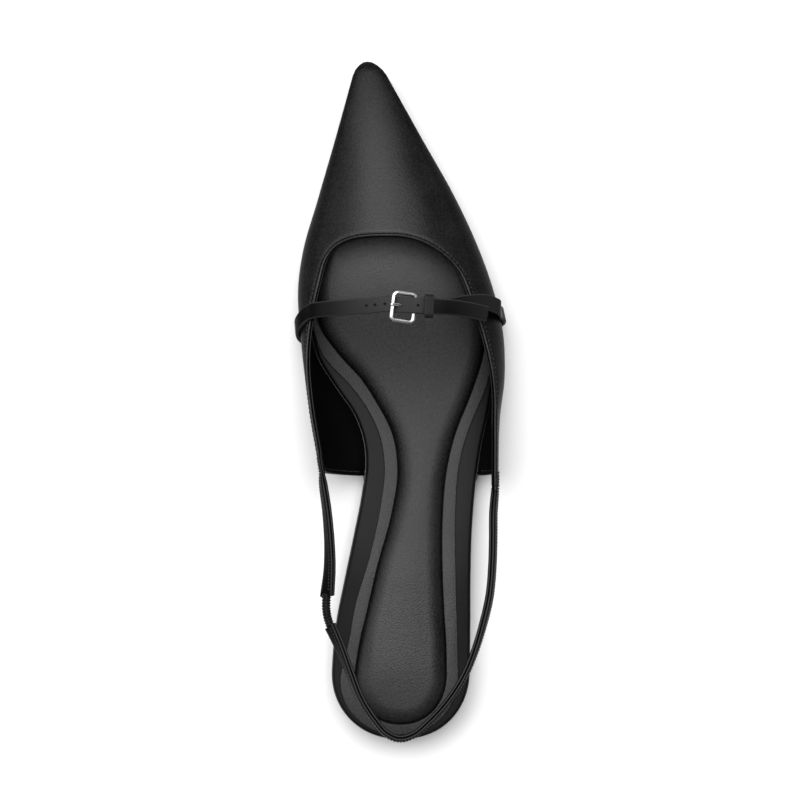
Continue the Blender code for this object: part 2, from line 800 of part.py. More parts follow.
def main():
    for old in list(bpy.data.objects):
        bpy.data.objects.remove(old, do_unlink=True)

    leather = material("black_leather", (0.012, 0.012, 0.013), 0.42)
    strap_leather = material("strap_leather", (0.011, 0.011, 0.012), 0.4)
    rubber = material("sole_rubber", (0.01, 0.01, 0.01), 0.6)
    heel_stack = material("heel_stack", (0.009, 0.009, 0.009), 0.5)
    board_wrap = material("insole_wrap", (0.014, 0.014, 0.015), 0.5)
    lining = material("sock_lining", (0.03, 0.03, 0.032), 0.75)
    metal = material("nickel", (0.75, 0.74, 0.72), 0.22, 1.0)
    elastic = material("elastic", (0.012, 0.012, 0.012), 0.8)

    make_outsole(rubber)
    make_heel(heel_stack)
    make_insole(board_wrap)
    make_sock(lining)
    make_upper(leather)
    billet = make_billet(strap_leather)
    base = make_base_strap(strap_leather)
    make_keeper(strap_leather)
    make_buckle(metal)
    make_prong(metal)
    cut(billet, slot_cutter("billet_hole", BILLET_HOLE, strap_leather))
    cut(base, slot_cutter("base_slot", BASE_SLOT, strap_leather))
    sling("sling_front", SLING_FRONT, SLING_WIDTH, SLING_THICK, strap_leather, 18)
    sling("sling_elastic", SLING_ELASTIC, ELASTIC_WIDTH, ELASTIC_THICK, elastic, 8)
    sling("sling_back", SLING_BACK, SLING_WIDTH, SLING_THICK, strap_leather, 52)
    place_shoe()


main()
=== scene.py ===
import math

import bmesh
import bpy
import numpy as np
from mathutils import Matrix


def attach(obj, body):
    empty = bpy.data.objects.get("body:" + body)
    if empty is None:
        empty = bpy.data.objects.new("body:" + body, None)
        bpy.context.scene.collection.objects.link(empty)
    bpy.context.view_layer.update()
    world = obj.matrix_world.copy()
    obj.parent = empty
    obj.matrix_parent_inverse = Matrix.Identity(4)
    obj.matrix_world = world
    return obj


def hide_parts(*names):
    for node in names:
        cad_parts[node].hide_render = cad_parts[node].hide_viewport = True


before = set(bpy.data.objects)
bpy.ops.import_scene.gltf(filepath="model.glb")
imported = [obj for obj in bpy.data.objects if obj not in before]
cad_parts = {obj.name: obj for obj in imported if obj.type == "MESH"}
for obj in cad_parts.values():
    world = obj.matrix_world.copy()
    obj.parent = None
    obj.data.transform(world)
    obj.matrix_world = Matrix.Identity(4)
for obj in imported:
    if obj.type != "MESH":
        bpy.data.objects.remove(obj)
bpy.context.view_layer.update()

scene = bpy.context.scene
print("frame loaded:", len(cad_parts), "nodes")

# The shoe's own sizes are millimetres from the back of the heel (y) and the heel's centre
# line (x). The frame has its origin at the outline's middle, in metres.
mm = 0.001
weldGap = 0.002 * mm
outlineMiddle = np.array([-0.5, 132.25, 0.0])
sides = {"med": -1, "lat": 1}  # and the way that each looks along x
upward = np.array([0.0, 0.0, 1.0])


# Reading sizes

def ease(t):
    t = np.clip(t, 0.0, 1.0)
    return t * t * (3 - 2 * t)


def cubicAt(places, values, place):  # a smooth curve through rows of sizes
    values = np.asarray(values, float)
    slopes = np.gradient(values, places, axis=0)
    place = np.clip(np.asarray(place, float), places[0], places[-1])
    k = np.clip(np.searchsorted(places, place) - 1, 0, len(places) - 2)
    step = places[k + 1] - places[k]
    t = (place - places[k]) / step
    spread = t.shape + (1,) * (values.ndim - 1)
    t, step = t.reshape(spread), step.reshape(spread)
    start = (1 + 2 * t) * (1 - t) ** 2 * values[k] + t * (1 - t) ** 2 * step * slopes[k]
    end = t * t * (3 - 2 * t) * values[k + 1] + t * t * (t - 1) * step * slopes[k + 1]
    return start + end


def linearAt(places, rows, place):
    return np.stack([np.interp(place, places, column) for column in rows.T], axis=1)


def runLength(points):  # how far along its route each point lies
    return np.concatenate(([0], np.cumsum(np.linalg.norm(np.diff(points, axis=0), axis=1))))


def unit(vectors):
    return vectors / np.maximum(np.linalg.norm(vectors, axis=-1, keepdims=True), 1e-9)


class SizeTable:
    def __init__(self, columns, *rows):
        self.column = dict(zip(columns.split(), np.array(rows, float).T))

    def at(self, column, y):
        return cubicAt(self.column["y"], self.column[column], y)


# The last: its bottom edge, its sections, and the topline round the foot

last = {
    "length": 264.7, "nose": 5.5, "tuck": 40.0, "tuckLift": 0.45, "gap": 0.3, "wall": 2.0,
    "heelHeight": 10.0, "breastY": 60.0, "treadStart": 150.0, "treadEnd": 188.0,
    "toeSpring": 7.0, "springPower": 1.8, "heelRound": 27.0, "heelPower": 2.15,
    "outsole": 3.0, "insole": 2.4,
}
noseStart = last["length"] - last["nose"]
tipPlace = noseStart + last["nose"] * math.pi / 2  # measured round the nose

lastBottom = SizeTable(
    "y med lat",
    (0, -26.9, 26.6), (27, -26.9, 26.6), (45, -25.3, 26.8), (62, -22.0, 26.9), (80, -18.2, 27.4),
    (95, -15.2, 28.6), (107, -13.6, 30.1), (117, -14.5, 31.9), (127, -18.2, 34.2), (137, -25.0, 35.8),
    (149, -32.3, 36.6), (160, -35.0, 36.3), (175, -36.4, 32.9), (190, -34.6, 27.2), (210, -28.9, 18.0),
    (235, -22.1, 4.2), (264.7, -14.9, -11.5))

lastSections = SizeTable(  # widest points, their heights, and the instep ridge
    "y med lat medZ latZ ridgeX ridgeZ",
    (92, -30.2, 37.2, 37.0, 20.0, 2.2, 74.0),
    (112, -33.4, 37.7, 36.5, 19.0, 1.5, 68.0),
    (125, -35.7, 38.4, 35.0, 18.0, 0.8, 62.0),
    (142, -38.0, 40.1, 30.0, 16.0, -0.2, 54.0),
    (158, -39.5, 39.7, 21.0, 14.5, -1.2, 47.5),
    (175, -40.4, 36.0, 15.0, 13.5, -2.6, 42.0),
    (190, -38.5, 30.8, 13.2, 13.0, -3.9, 37.4),
    (210, -32.8, 21.7, 13.0, 13.0, -5.7, 31.0),
    (235, -25.6, 7.7, 13.2, 13.2, -9.0, 23.6),
    (264.7, -17.4, -9.0, 14.2, 14.2, -13.2, 17.6))

topline = SizeTable(  # degrees above the widest line
    "y med lat",
    (92, 0.0, 18.0), (104, 0.5, 18.5), (118, 2.0, 20.4), (130, 5.0, 24.2), (142, 10.4, 30.5),
    (153, 18.6, 36.4), (165, 28.6, 41.5), (177, 37.2, 45.4), (195, 42.0, 48.6))


def soleZ(y):  # underside of the outsole
    y = np.asarray(y, float)
    waist = last["heelHeight"] * (1 - ease((y - last["breastY"]) / (last["treadStart"] - last["breastY"])))
    toe = np.maximum(y - last["treadEnd"], 0) / (last["length"] - last["treadEnd"])
    return np.where(y < last["treadStart"], waist, last["toeSpring"] * toe ** last["springPower"])


def featherZ(y):  # the edge where the upper meets the sole
    return soleZ(y) + last["outsole"] + last["gap"]


def nosePlace(place):  # y, and what is left of the section as it rounds the nose
    turn = np.clip((place - noseStart) / last["nose"], 0, math.pi / 2)
    y = np.where(place <= noseStart, place, noseStart + last["nose"] * np.sin(turn))
    return y, np.where(place <= noseStart, 1.0, np.cos(turn))


def featherX(side, y):
    slope = lastBottom.at(side, y + 0.5) - lastBottom.at(side, y - 0.5)
    reach = (last["gap"] + last["wall"]) * np.hypot(1, slope)
    return lastBottom.at(side, y) + sides[side] * reach


def lastPoint(side, place, rise):  # rise: 0 on the widest line, 90 on the ridge, below 0 tucked in
    y, fullness = nosePlace(place)
    wideX, wideZ = lastSections.at(side, y), lastSections.at(side + "Z", y)
    ridgeX, ridgeZ = lastSections.at("ridgeX", y), lastSections.at("ridgeZ", y)
    footX, footZ = featherX(side, y), featherZ(y)
    angle = np.radians(rise)
    t = np.clip(1 + rise / last["tuck"], 0, 1)
    bendZ = footZ + last["tuckLift"] * (wideZ - footZ)
    tuckX = (1 - t) ** 2 * footX + (1 - (1 - t) ** 2) * wideX
    tuckZ = (1 - t) ** 2 * footZ + 2 * t * (1 - t) * bendZ + t * t * wideZ
    x = np.where(rise >= 0, ridgeX + (wideX - ridgeX) * np.cos(angle), tuckX)
    z = np.where(rise >= 0, wideZ + (ridgeZ - wideZ) * np.sin(angle), tuckZ)
    return np.stack((ridgeX + (x - ridgeX) * fullness, y, footZ + (z - footZ) * fullness), axis=-1)


def lastNormal(side, place, rise):  # outward; level at the feather edge, straight ahead at the tip
    step = 0.005
    place = np.asarray(place, float)
    along = lastPoint(side, place + step, rise) - lastPoint(side, place - step, rise)
    across = lastPoint(side, place, rise + step) - lastPoint(side, place, rise - step)
    normal = unit(np.cross(across, along) * -sides[side])
    point = lastPoint(side, place, rise)
    normal[..., 2] *= ease((point[..., 2] - featherZ(point[..., 1])) / (2 * last["wall"]))
    atTip = (place > tipPlace - 0.01)[..., None]
    return unit(np.where(atTip, np.array([0.0, 1.0, 0.0]), normal))


# Making pieces

def toFrame(points):
    return (np.asarray(points) - outlineMiddle) * mm


def setPoints(verts, points):
    for vert, point in zip(verts, toFrame(points)):
        vert.co = point


def gridMesh(columns, rows, place, shade=None):  # a grid whose points go where place(u, v) says
    bm = bmesh.new()
    bmesh.ops.create_grid(bm, x_segments=columns, y_segments=rows, size=0.5)
    bm.verts.ensure_lookup_table()
    flat = np.array([vert.co[:2] for vert in bm.verts]) + 0.5
    setPoints(bm.verts, place(flat[:, 0], flat[:, 1]))
    # shade fills the edge attribute, which carries the painted highlight along folded edges
    if shade:
        edge = bm.verts.layers.float.new("edge")
        for vert, value in zip(bm.verts, shade(flat[:, 0], flat[:, 1])):
            vert[edge] = value
    return bm


def nearest(values):
    return np.rint(values).astype(int)


def weld(bm):
    bmesh.ops.remove_doubles(bm, verts=bm.verts, dist=weldGap)
    bmesh.ops.dissolve_degenerate(bm, edges=bm.edges, dist=weldGap * 0.5)


def fillHoles(bm):
    bmesh.ops.holes_fill(bm, edges=[edge for edge in bm.edges if edge.is_boundary], sides=0)


def roundEdges(bm, offset, least=60):  # edges that turn by more than least degrees
    sharp = [edge for edge in bm.edges
             if len(edge.link_faces) == 2 and edge.calc_face_angle() > math.radians(least)]
    bmesh.ops.bevel(bm, geom=sharp, offset=offset * mm, segments=3, profile=0.5,
                    affect="EDGES", material=-1, clamp_overlap=True)


def placing(first, second, third, place):  # a matrix of three axes and a place in the frame
    turn = np.eye(4)
    turn[:3] = np.stack((first, second, third, place), axis=1)
    return Matrix(turn.tolist())


def meshFrom(name, bm):
    mesh = bpy.data.meshes.new(name)
    bm.to_mesh(mesh)
    bm.free()
    return mesh


def addObject(name, data):
    made = bpy.data.objects.new(name, data)
    scene.collection.objects.link(made)
    return made


def makePiece(name, bm, surface, slot, *nodes, sharpAngle=None, recalc=True):
    if recalc:
        bmesh.ops.recalc_face_normals(bm, faces=bm.faces)
    mesh = meshFrom(name, bm)
    mesh.shade_smooth()
    if sharpAngle:
        mesh.set_sharp_from_angle(angle=math.radians(sharpAngle))
    mesh.materials.append(surface)
    piece = addObject(name, mesh)
    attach(piece, "root")
    if nodes:
        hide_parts(*nodes)
    print("made", name, len(mesh.polygons), "faces")
    return piece


# Surfaces

# How far a face turns from the eye, and the share of its dulling that it then gets
glossLost = ((0.1, 0.0), (0.4, 1.0), (0.55, 1.0), (0.8, 0.75), (0.95, 0.4))


class Value:  # wraps a socket, so that shader maths reads as arithmetic
    def __init__(self, finish, socket):
        self.finish = finish
        self.socket = socket

    def math(self, operation, other):
        return self.finish.node("ShaderNodeMath", {"operation": operation}, {0: self, 1: other})

    def __add__(self, other):
        return self.math("ADD", other)

    def __mul__(self, other):
        return self.math("MULTIPLY", other)

    __radd__ = __add__
    __rmul__ = __mul__


class Finish:  # the nodes of a material, or of the world
    def __init__(self, owner):
        owner.use_nodes = True
        self.owner = owner
        self.tree = owner.node_tree

    def feed(self, node, sockets):
        for key, value in sockets.items():
            socket = node.inputs[key]
            if isinstance(value, Value):
                self.tree.links.new(value.socket, socket)
            elif socket.type == "RGBA" and len(value) == 3:
                socket.default_value = (*value, 1.0)
            else:
                socket.default_value = value

    def node(self, kind, settings=None, sockets=None, output=0):
        made = self.tree.nodes.new(kind)
        for key, value in (settings or {}).items():
            if key == "stops":
                ramp = made.color_ramp.elements
                while len(ramp) < len(value):
                    ramp.new(0.5)
                for stop, (place, shade) in zip(ramp, value):
                    stop.position = place
                    stop.color = (shade, shade, shade, 1.0)
            else:
                setattr(made, key, value)
        self.feed(made, sockets or {})
        return Value(self, made.outputs[output])

    def spots(self):
        return self.node("ShaderNodeTexCoord", output="Object")

    def noise(self, size, detail=2.0, roughness=0.5):  # size of its lumps, in millimetres
        sockets = {"Vector": self.spots(), "Scale": 1 / (size * mm)}
        sockets |= {"Detail": detail, "Roughness": roughness}
        return self.node("ShaderNodeTexNoise", {"noise_dimensions": "3D"}, sockets)

    def cells(self, size, feature):
        sockets = {"Vector": self.spots(), "Scale": 1 / (size * mm)}
        return self.node("ShaderNodeTexVoronoi", {"feature": feature}, sockets)

    def steps(self, value, *stops):
        return self.node("ShaderNodeValToRGB", {"stops": stops}, {"Fac": value})

    def blend(self, factor, low, high):
        return self.node("ShaderNodeMix", {"data_type": "RGBA"}, {0: factor, 6: low, 7: high}, 2)

    def bump(self, height, depth):  # depth in millimetres
        sockets = {"Height": height, "Distance": depth * mm, "Strength": 1.0}
        return self.node("ShaderNodeBump", None, sockets)

    def along(self, *stops, axis=1):  # shades by millimetres across the shoe or along it
        place = self.node("ShaderNodeSeparateXYZ", None, {0: self.spots()}, "XYZ"[axis])
        low, run = stops[0][0], stops[-1][0] - stops[0][0]
        share = (place * (1 / mm) + (outlineMiddle[axis] - low)) * (1 / run)
        return self.steps(share, *(((at - low) / run, shade) for at, shade in stops))

    def use(self, dull=None, **sockets):
        shader = self.tree.nodes["Principled BSDF"]
        sockets = {key.replace("_", " "): value for key, value in sockets.items()}
        self.feed(shader, sockets)
        if dull:  # the most that is lost of the gloss as the face turns away
            facing = self.node("ShaderNodeLayerWeight", None, {"Blend": 0.5}, "Facing")
            lost = self.steps(facing, *((turn, dull * share) for turn, share in glossLost))
            flat = self.node("ShaderNodeBsdfPrincipled", None, sockets | {"Specular IOR Level": 0.0})
            glossy = Value(self, shader.outputs[0])
            both = self.node("ShaderNodeMixShader", None, {0: lost, 1: glossy, 2: flat})
            self.feed(self.tree.nodes["Material Output"], {"Surface": both})
        return self.owner


def newFinish(name):
    return Finish(bpy.data.materials.new(name))


# The level colour is a painted highlight for strap faces that lie level
leather = {"creaseSize": 1.7, "creaseWide": 0.14, "roughBelow": 0.04, "roughWide": 0.08, "roughFine": 0.05,
           "glossRough": 0.3, "paintedHighlightShade": (0.018, 0.018, 0.019)}


def smoothLeather(name, dark, light, roughness, grain, depth, specular, dull=None, mottle=14.0, gloss=None,
                  edge=None, across=()):
    f, c = newFinish(name), leather
    pebbles = f.cells(grain, "SMOOTH_F1")
    fine = f.noise(grain, 2.0, 0.65)
    wide = f.noise(mottle, 3.0, 0.55)
    seams = f.cells(grain * c["creaseSize"], "DISTANCE_TO_EDGE")
    creases = f.steps(seams, (0.0, 0.0), (c["creaseWide"], 1.0))
    rough = roughness - c["roughBelow"] + c["roughWide"] * wide + c["roughFine"] * fine
    if gloss:
        rough = rough + c["glossRough"] * f.along(*gloss)
    colour = f.blend(f.steps(0.2 * wide + 0.8 * fine, (0.42, 0.0), (0.6, 1.0)), dark, light)
    if across:  # painted highlight: lighter where the strap lies level under the overhead light
        colour = f.blend(f.along(*across, axis=0), colour, c["paintedHighlightShade"])
    if edge:  # painted highlight: lighter along the folded edges
        paintedSheenBand = f.node("ShaderNodeAttribute", {"attribute_name": "edge"}, output="Fac")
        colour = f.blend(paintedSheenBand, colour, edge)
    return f.use(dull, Base_Color=colour, Roughness=rough, Specular_IOR_Level=specular,
                 Normal=f.bump(0.3 * pebbles + 0.6 * fine + 0.1 * creases, depth))


def blackRubber(name):
    f = newFinish(name)
    speck = f.noise(0.5, 3.0, 0.6)
    wide = f.noise(18.0, 2.0, 0.5)
    return f.use(Base_Color=f.blend(wide, (0.004,) * 3, (0.009,) * 3), Specular_IOR_Level=0.3,
                 Roughness=0.46 + 0.16 * speck, Normal=f.bump(speck, 0.03))


def polishedNickel(name):
    f = newFinish(name)
    haze = f.noise(2.5, 3.0, 0.6)
    brushed = f.noise(0.25, 2.0, 0.5)
    return f.use(Base_Color=f.blend(haze, (0.42, 0.41, 0.4), (0.56, 0.55, 0.53)), Metallic=1.0,
                 Roughness=0.26 + 0.1 * haze, Normal=f.bump(brushed, 0.006))


def ribbedElastic(name):
    f = newFinish(name)
    weave = f.cells(0.35, "F1")
    fuzz = f.noise(0.18, 2.0, 0.6)
    return f.use(0.8, Base_Color=f.blend(fuzz, (0.001,) * 3, (0.005,) * 3), Specular_IOR_Level=0.16,
                 Roughness=0.36 + 0.2 * fuzz, Normal=f.bump(weave, 0.05))


def blackThread(name):
    f = newFinish(name)
    twist = f.node("ShaderNodeTexWave", {"bands_direction": "DIAGONAL"},
                   {"Vector": f.spots(), "Scale": 1 / (0.5 * mm), "Distortion": 1.0})
    return f.use(0.85, Base_Color=f.blend(twist, (0.001,) * 3, (0.009,) * 3), Specular_IOR_Level=0.3,
                 Roughness=0.34 + 0.2 * twist, Normal=f.bump(twist, 0.04))


upperLeather = smoothLeather(
    "upperLeather", (0.0003, 0.0003, 0.0004), (0.0065, 0.0065, 0.007), roughness=0.4, grain=0.65,
    depth=0.15, specular=0.175, dull=0.8, gloss=((200, 0.0), (224, 0.1), (240, 0.45), (258, 0.9)))
liningLeather = smoothLeather(
    "liningLeather", (0.0008,) * 3, (0.0016,) * 3, roughness=0.42, grain=0.6, depth=0.05, specular=0.1,
    dull=0.5)
strapLeather = smoothLeather(
    "strapLeather", (0.0004, 0.0004, 0.0005), (0.001, 0.001, 0.0011), roughness=0.28, grain=0.5,
    # painted highlight: the edge colour lightens the folded edges
    depth=0.035, specular=0.02, dull=0.8, edge=(0.02, 0.02, 0.021),
    # painted highlight: the across stops lighten the colour where the strap lies level
    across=((-36, 0.0), (-28, 0.2), (-20, 0.6), (-10, 0.85), (1, 1.0), (6, 0.8), (8, 0.1), (16, 0.0),
            (22, 0.1), (36, 0.5)))
slingLeather = smoothLeather(
    "slingLeather", (0.0006,) * 3, (0.0014,) * 3, roughness=0.28, grain=0.5, depth=0.035, specular=0.035,
    # painted highlight: the edge colour lightens the folded edges
    dull=0.8, edge=(0.016, 0.016, 0.017))
insoleWrap = smoothLeather(
    "insoleWrap", (0.0014,) * 3, (0.0024,) * 3, roughness=0.44, grain=0.5, depth=0.04, specular=0.06)
sockLining = smoothLeather(
    "sockLining", (0.0002,) * 3, (0.0085, 0.0085, 0.0088), roughness=0.34, grain=0.55, depth=0.14,
    specular=0.21, dull=0.7, mottle=20.0,
    gloss=((4, 0.85), (14, 0.55), (28, 0.1), (55, 0.1), (80, 0.5), (118, 0.6), (140, 0.75), (165, 0.8),
           (175, 0.4), (186, 0.0)))
soleRubber = blackRubber("soleRubber")
heelSurface = smoothLeather(
    "heelSurface", (0.004,) * 3, (0.007,) * 3, roughness=0.4, grain=0.6, depth=0.012, specular=0.3)
nickel = polishedNickel("nickel")
elasticRib = ribbedElastic("elasticRib")
thread = blackThread("thread")
print("materials ready:", len(bpy.data.materials))


# Sole: layers cut to outlines that are closed by a round heel and a round toe

class Outline:
    def __init__(self, table, back, heelRound, front, nose):
        self.table, self.back, self.front = table, back, front
        self.heelRound, self.nose = heelRound, nose

    def fullness(self, y):
        behind = np.maximum(self.back + self.heelRound - y, 0) / self.heelRound
        ahead = np.maximum(y - self.front + self.nose, 0) / self.nose
        power = last["heelPower"]
        heel = np.maximum(1 - behind ** power, 0) ** (1 / power)
        return heel * np.sqrt(np.maximum(1 - ahead ** 2, 0))

    def rows(self, count):  # close together where the ends turn
        start, end = self.back + self.heelRound, self.front - self.nose
        ends = np.linspace(0, math.pi / 2, count // 6)
        heel = self.back + self.heelRound * (1 - np.cos(ends))
        toe = end + self.nose * np.sin(ends)
        middle = np.linspace(start, end, count - 2 * len(ends) + 2)[1:-1]
        return np.concatenate((heel, middle, toe))

    def loop(self, ys, reach, height):  # medial side to the toe, then back along the lateral side
        halves = []
        middle = sum(self.table.at(side, ys) for side in sides) / 2
        for side in sides:
            x = middle + (self.table.at(side, ys) - middle) * self.fullness(ys)
            plan = np.stack((x, ys), axis=1)
            along = np.gradient(plan, axis=0)
            outward = unit(along[:, ::-1] * np.array([-1, 1]) * -sides[side])
            outward[0] = (0, -1)
            outward[-1] = (0, 1)
            plan = plan + outward * np.broadcast_to(reach(ys), ys.shape)[:, None]
            points = np.column_stack((plan, height(plan[:, 1])))
            halves.append(points if side == "med" else points[::-1])
        return np.concatenate(halves)


def layerMesh(loops, columns):  # an outline extruded through its edge profile, then closed
    bm = bmesh.new()
    count = len(loops[0])
    ring = bmesh.ops.create_circle(bm, segments=count, radius=1.0, cap_ends=False)["verts"]
    bottom = top = ring
    edges = list(bm.edges)
    setPoints(ring, loops[0])
    order = {vert: k for k, vert in enumerate(ring)}
    for loop in loops[1:]:
        made = bmesh.ops.extrude_edge_only(bm, edges=edges)["geom"]
        fresh = [g for g in made if isinstance(g, bmesh.types.BMVert)]
        edges = [g for g in made if isinstance(g, bmesh.types.BMEdge)]
        follows = {}
        for vert in fresh:
            below = next(o for o in (e.other_vert(vert) for e in vert.link_edges) if o in order)
            follows[vert] = order[below]
        order = follows
        top = sorted(order, key=order.get)
        edges = [edge for edge in edges if all(vert in order for vert in edge.verts)]
        setPoints(top, loop)
    half = count // 2
    rungs = []
    for face in (bottom, top):
        chains = (face[:half], face[half:])
        rails = [bm.edges.get(pair) for chain in chains for pair in zip(chain, chain[1:])]
        bridge = bmesh.ops.bridge_loops(bm, edges=rails)["faces"]
        rungs += {edge for quad in bridge for edge in quad.edges} - set(rails)
    bmesh.ops.subdivide_edges(bm, edges=rungs, cuts=columns, use_grid_fill=True)
    weld(bm)
    return bm


def profileLoops(outline, count, profile, base, reach=lambda y: 0.0):
    ys = outline.rows(count)
    return [outline.loop(ys, lambda y: reach(y) - inset, lambda y: base(y) + up) for inset, up in profile]


def rolledEdge(inset, low, high, wide, count):  # a quarter round from the side in to the top
    turns = np.linspace(0, math.pi / 2, count)
    return [(inset + wide * (1 - math.cos(a)), low + (high - low) * math.sin(a)) for a in turns]


def roundFoot(inset, wide, count):  # a quarter round from the underside out to the side
    turns = np.linspace(0, math.pi / 2, count)
    return [(inset + wide * (1 - math.sin(a)), wide * (1 - math.cos(a))) for a in turns]


insoleOutline = Outline(lastBottom, back=0.0, heelRound=last["heelRound"], front=261.9, nose=5.0)

outsoleCut = {"rows": 190, "columns": 9, "lip": 0.2, "lipRun": 7.0, "waistStart": 107.0, "edge": 0.5,
              "topEdge": 0.25}


def soleReach(y):
    carried = ease((y - outsoleCut["waistStart"] + outsoleCut["lipRun"]) / outsoleCut["lipRun"])
    return outsoleCut["lip"] + (last["gap"] + last["wall"]) * carried


def makeOutsole():
    c, thick = outsoleCut, last["outsole"]
    profile = roundFoot(0.0, c["edge"], 6) + [(0.0, thick / 2)]
    profile += rolledEdge(0.0, thick - c["topEdge"], thick, c["topEdge"], 5)
    loops = profileLoops(insoleOutline, c["rows"], profile, soleZ, soleReach)
    bm = layerMesh(loops, c["columns"])
    makePiece("outsole_shaped", bm, soleRubber, "sole_rubber", "outsole", sharpAngle=50)


heelCut = {"arcRows": 150, "sideRows": 30, "columns": 9, "top": 9.7, "topInset": 0.6, "footInset": 2.4,
           "footRound": 0.4, "firstStep": 0.9, "steps": 18, "liftLine": 3.2, "lineWide": 0.35,
           "lineDeep": 0.25, "hollow": 0.5}


def makeHeel():
    c = heelCut
    foot = c["footInset"] - c["footRound"]

    def inset(z):  # a straight taper, drawn in a little half way up
        t = z / c["top"]
        return foot + (c["topInset"] - foot) * t + c["hollow"] * 4 * t * (1 - t)

    profile = roundFoot(foot, c["footRound"], 5)
    line, wide = c["liftLine"], c["lineWide"]
    for z in np.linspace(c["firstStep"], c["top"], c["steps"]):
        if abs(z - line) > wide:
            profile.append((inset(z), z))
    profile += [(inset(line - wide / 2), line - wide / 2), (inset(line) + c["lineDeep"], line),
                (inset(line + wide / 2), line + wide / 2)]
    profile.sort(key=lambda step: step[1])
    arc = insoleOutline.rows(c["arcRows"])
    arc = arc[arc < last["heelRound"]]
    side = np.linspace(last["heelRound"], last["breastY"], c["sideRows"])
    ys = np.concatenate((arc, side))
    loops, half = [], len(ys)
    for step, up in profile:
        loop = insoleOutline.loop(ys, lambda y: -step, lambda y: y * 0 + up)
        for corner, back in ((half - 1, -1), (half, 1)):  # the breast's corners carry on the sides
            loop[corner, 0] = 2 * loop[corner + back, 0] - loop[corner + 2 * back, 0]
            loop[corner, 1] = last["breastY"]
        loops.append(loop)
    bm = layerMesh(loops, c["columns"])
    makePiece("heel_shaped", bm, heelSurface, "heel_stack", "heel", sharpAngle=50)


insoleCut = {"rows": 190, "columns": 9, "foot": ((0.25, 0.0), (0.06, 0.12), (0.0, 0.35)), "side": 0.45,
             "roll": 1.3}


def makeInsole():
    c, thick = insoleCut, last["insole"]
    profile = [*c["foot"], (0.0, thick * c["side"])]
    profile += rolledEdge(0.0, thick - c["roll"], thick, c["roll"], 8)
    bm = layerMesh(profileLoops(insoleOutline, c["rows"], profile, featherZ), c["columns"])
    makePiece("insole_wrapped", bm, insoleWrap, "insole_wrap", "insole", sharpAngle=60)


sockRim = SizeTable(
    "y med lat",
    (1, -23.9, 22.0), (24, -23.9, 22.0), (39, -20.5, 21.8), (52, -18.2, 21.4), (71, -12.6, 21.0),
    (91, -8.2, 21.2), (107, -6.6, 22.7), (120, -8.9, 26.3), (128, -12.7, 29.6), (137, -19.0, 33.4),
    (149, -30.0, 35.7), (160, -34.2, 35.6), (175, -35.6, 32.2), (190, -33.8, 26.5), (210, -28.1, 17.3),
    (235, -21.3, 3.5), (258, -15.8, -8.8))

padEdge = SizeTable(
    "y med lat",
    (6, -17.5, 16.6), (24, -17.5, 16.6), (37, -15.6, 16.4), (50, -12.6, 15.6), (68, -8.4, 14.9),
    (88, -2.9, 15.2), (105, -0.5, 16.9), (120, -2.8, 20.7), (132, -8.9, 25.6), (141, -14.8, 29.0),
    (150, -23.0, 31.6), (160, -30.2, 32.4), (175, -33.0, 29.6), (190, -31.2, 24.0), (210, -25.4, 14.8),
    (232, -19.4, 2.6), (246, -16.0, -4.6))

sockCut = {"rows": 210, "columns": 19, "rim": 0.8, "padRise": 3.4, "groove": 0.9, "grooveDeep": 0.75,
           "rollStart": -0.55, "roll": 6.4, "crown": 0.6, "crownRun": 26.0}


def makeSock():
    c = sockCut
    rim, deep, gap = c["rim"], c["rim"] - c["grooveDeep"], c["groove"]
    rimLine = Outline(sockRim, back=1.9, heelRound=24.0, front=254.0, nose=6.0)
    padLine = Outline(padEdge, back=6.8, heelRound=19.0, front=242.0, nose=8.0)

    def base(y):
        return featherZ(y) + last["insole"] + last["gap"]

    rimProfile = [(0.0, 0.0), (0.0, rim - 0.25)] + rolledEdge(0.0, rim - 0.2, rim, 0.25, 5)[1:]
    padProfile = [(-gap - 0.3, rim), (-gap - 0.1, rim - 0.03), (-gap, rim - 0.12)]
    padProfile += [(-gap + 0.05, deep + 0.15), (-gap + 0.2, deep)]
    padProfile += rolledEdge(c["rollStart"], deep + 0.3, rim + c["padRise"], c["roll"], 22)
    loops = profileLoops(rimLine, c["rows"], rimProfile, base)
    loops += profileLoops(padLine, c["rows"], padProfile, base)
    bm = layerMesh(loops, c["columns"])
    puffUp(bm, padLine, base)
    piece = makePiece("sock_cushion", bm, sockLining, "sock_lining", "sock_pad", sharpAngle=70)


def puffUp(bm, padLine, base):  # the cushion's middle stands a little higher than its rolled edge
    c = sockCut
    points = np.array([vert.co for vert in bm.verts]) / mm + outlineMiddle
    y = points[:, 1]
    edges = [padLine.table.at(side, y) for side in sides]
    middle, half = sum(edges) / 2, (edges[1] - edges[0]) / 2 * padLine.fullness(y)
    across = np.clip((points[:, 0] - middle) / np.maximum(half, 1), -1, 1)
    ends = ease((y - padLine.back) / c["crownRun"]) * ease((padLine.front - y) / c["crownRun"])
    onTop = ease((points[:, 2] - base(y) - c["rim"]) / c["padRise"])
    lift = c["crown"] * (1 - across ** 2) ** 2 * ends * onTop
    for vert, rise in zip(bm.verts, lift):
        vert.co.z += rise * mm


makeOutsole()
makeHeel()
makeInsole()
makeSock()


# Upper: outer leather and lining, each a thin wall over the last from feather edge to topline

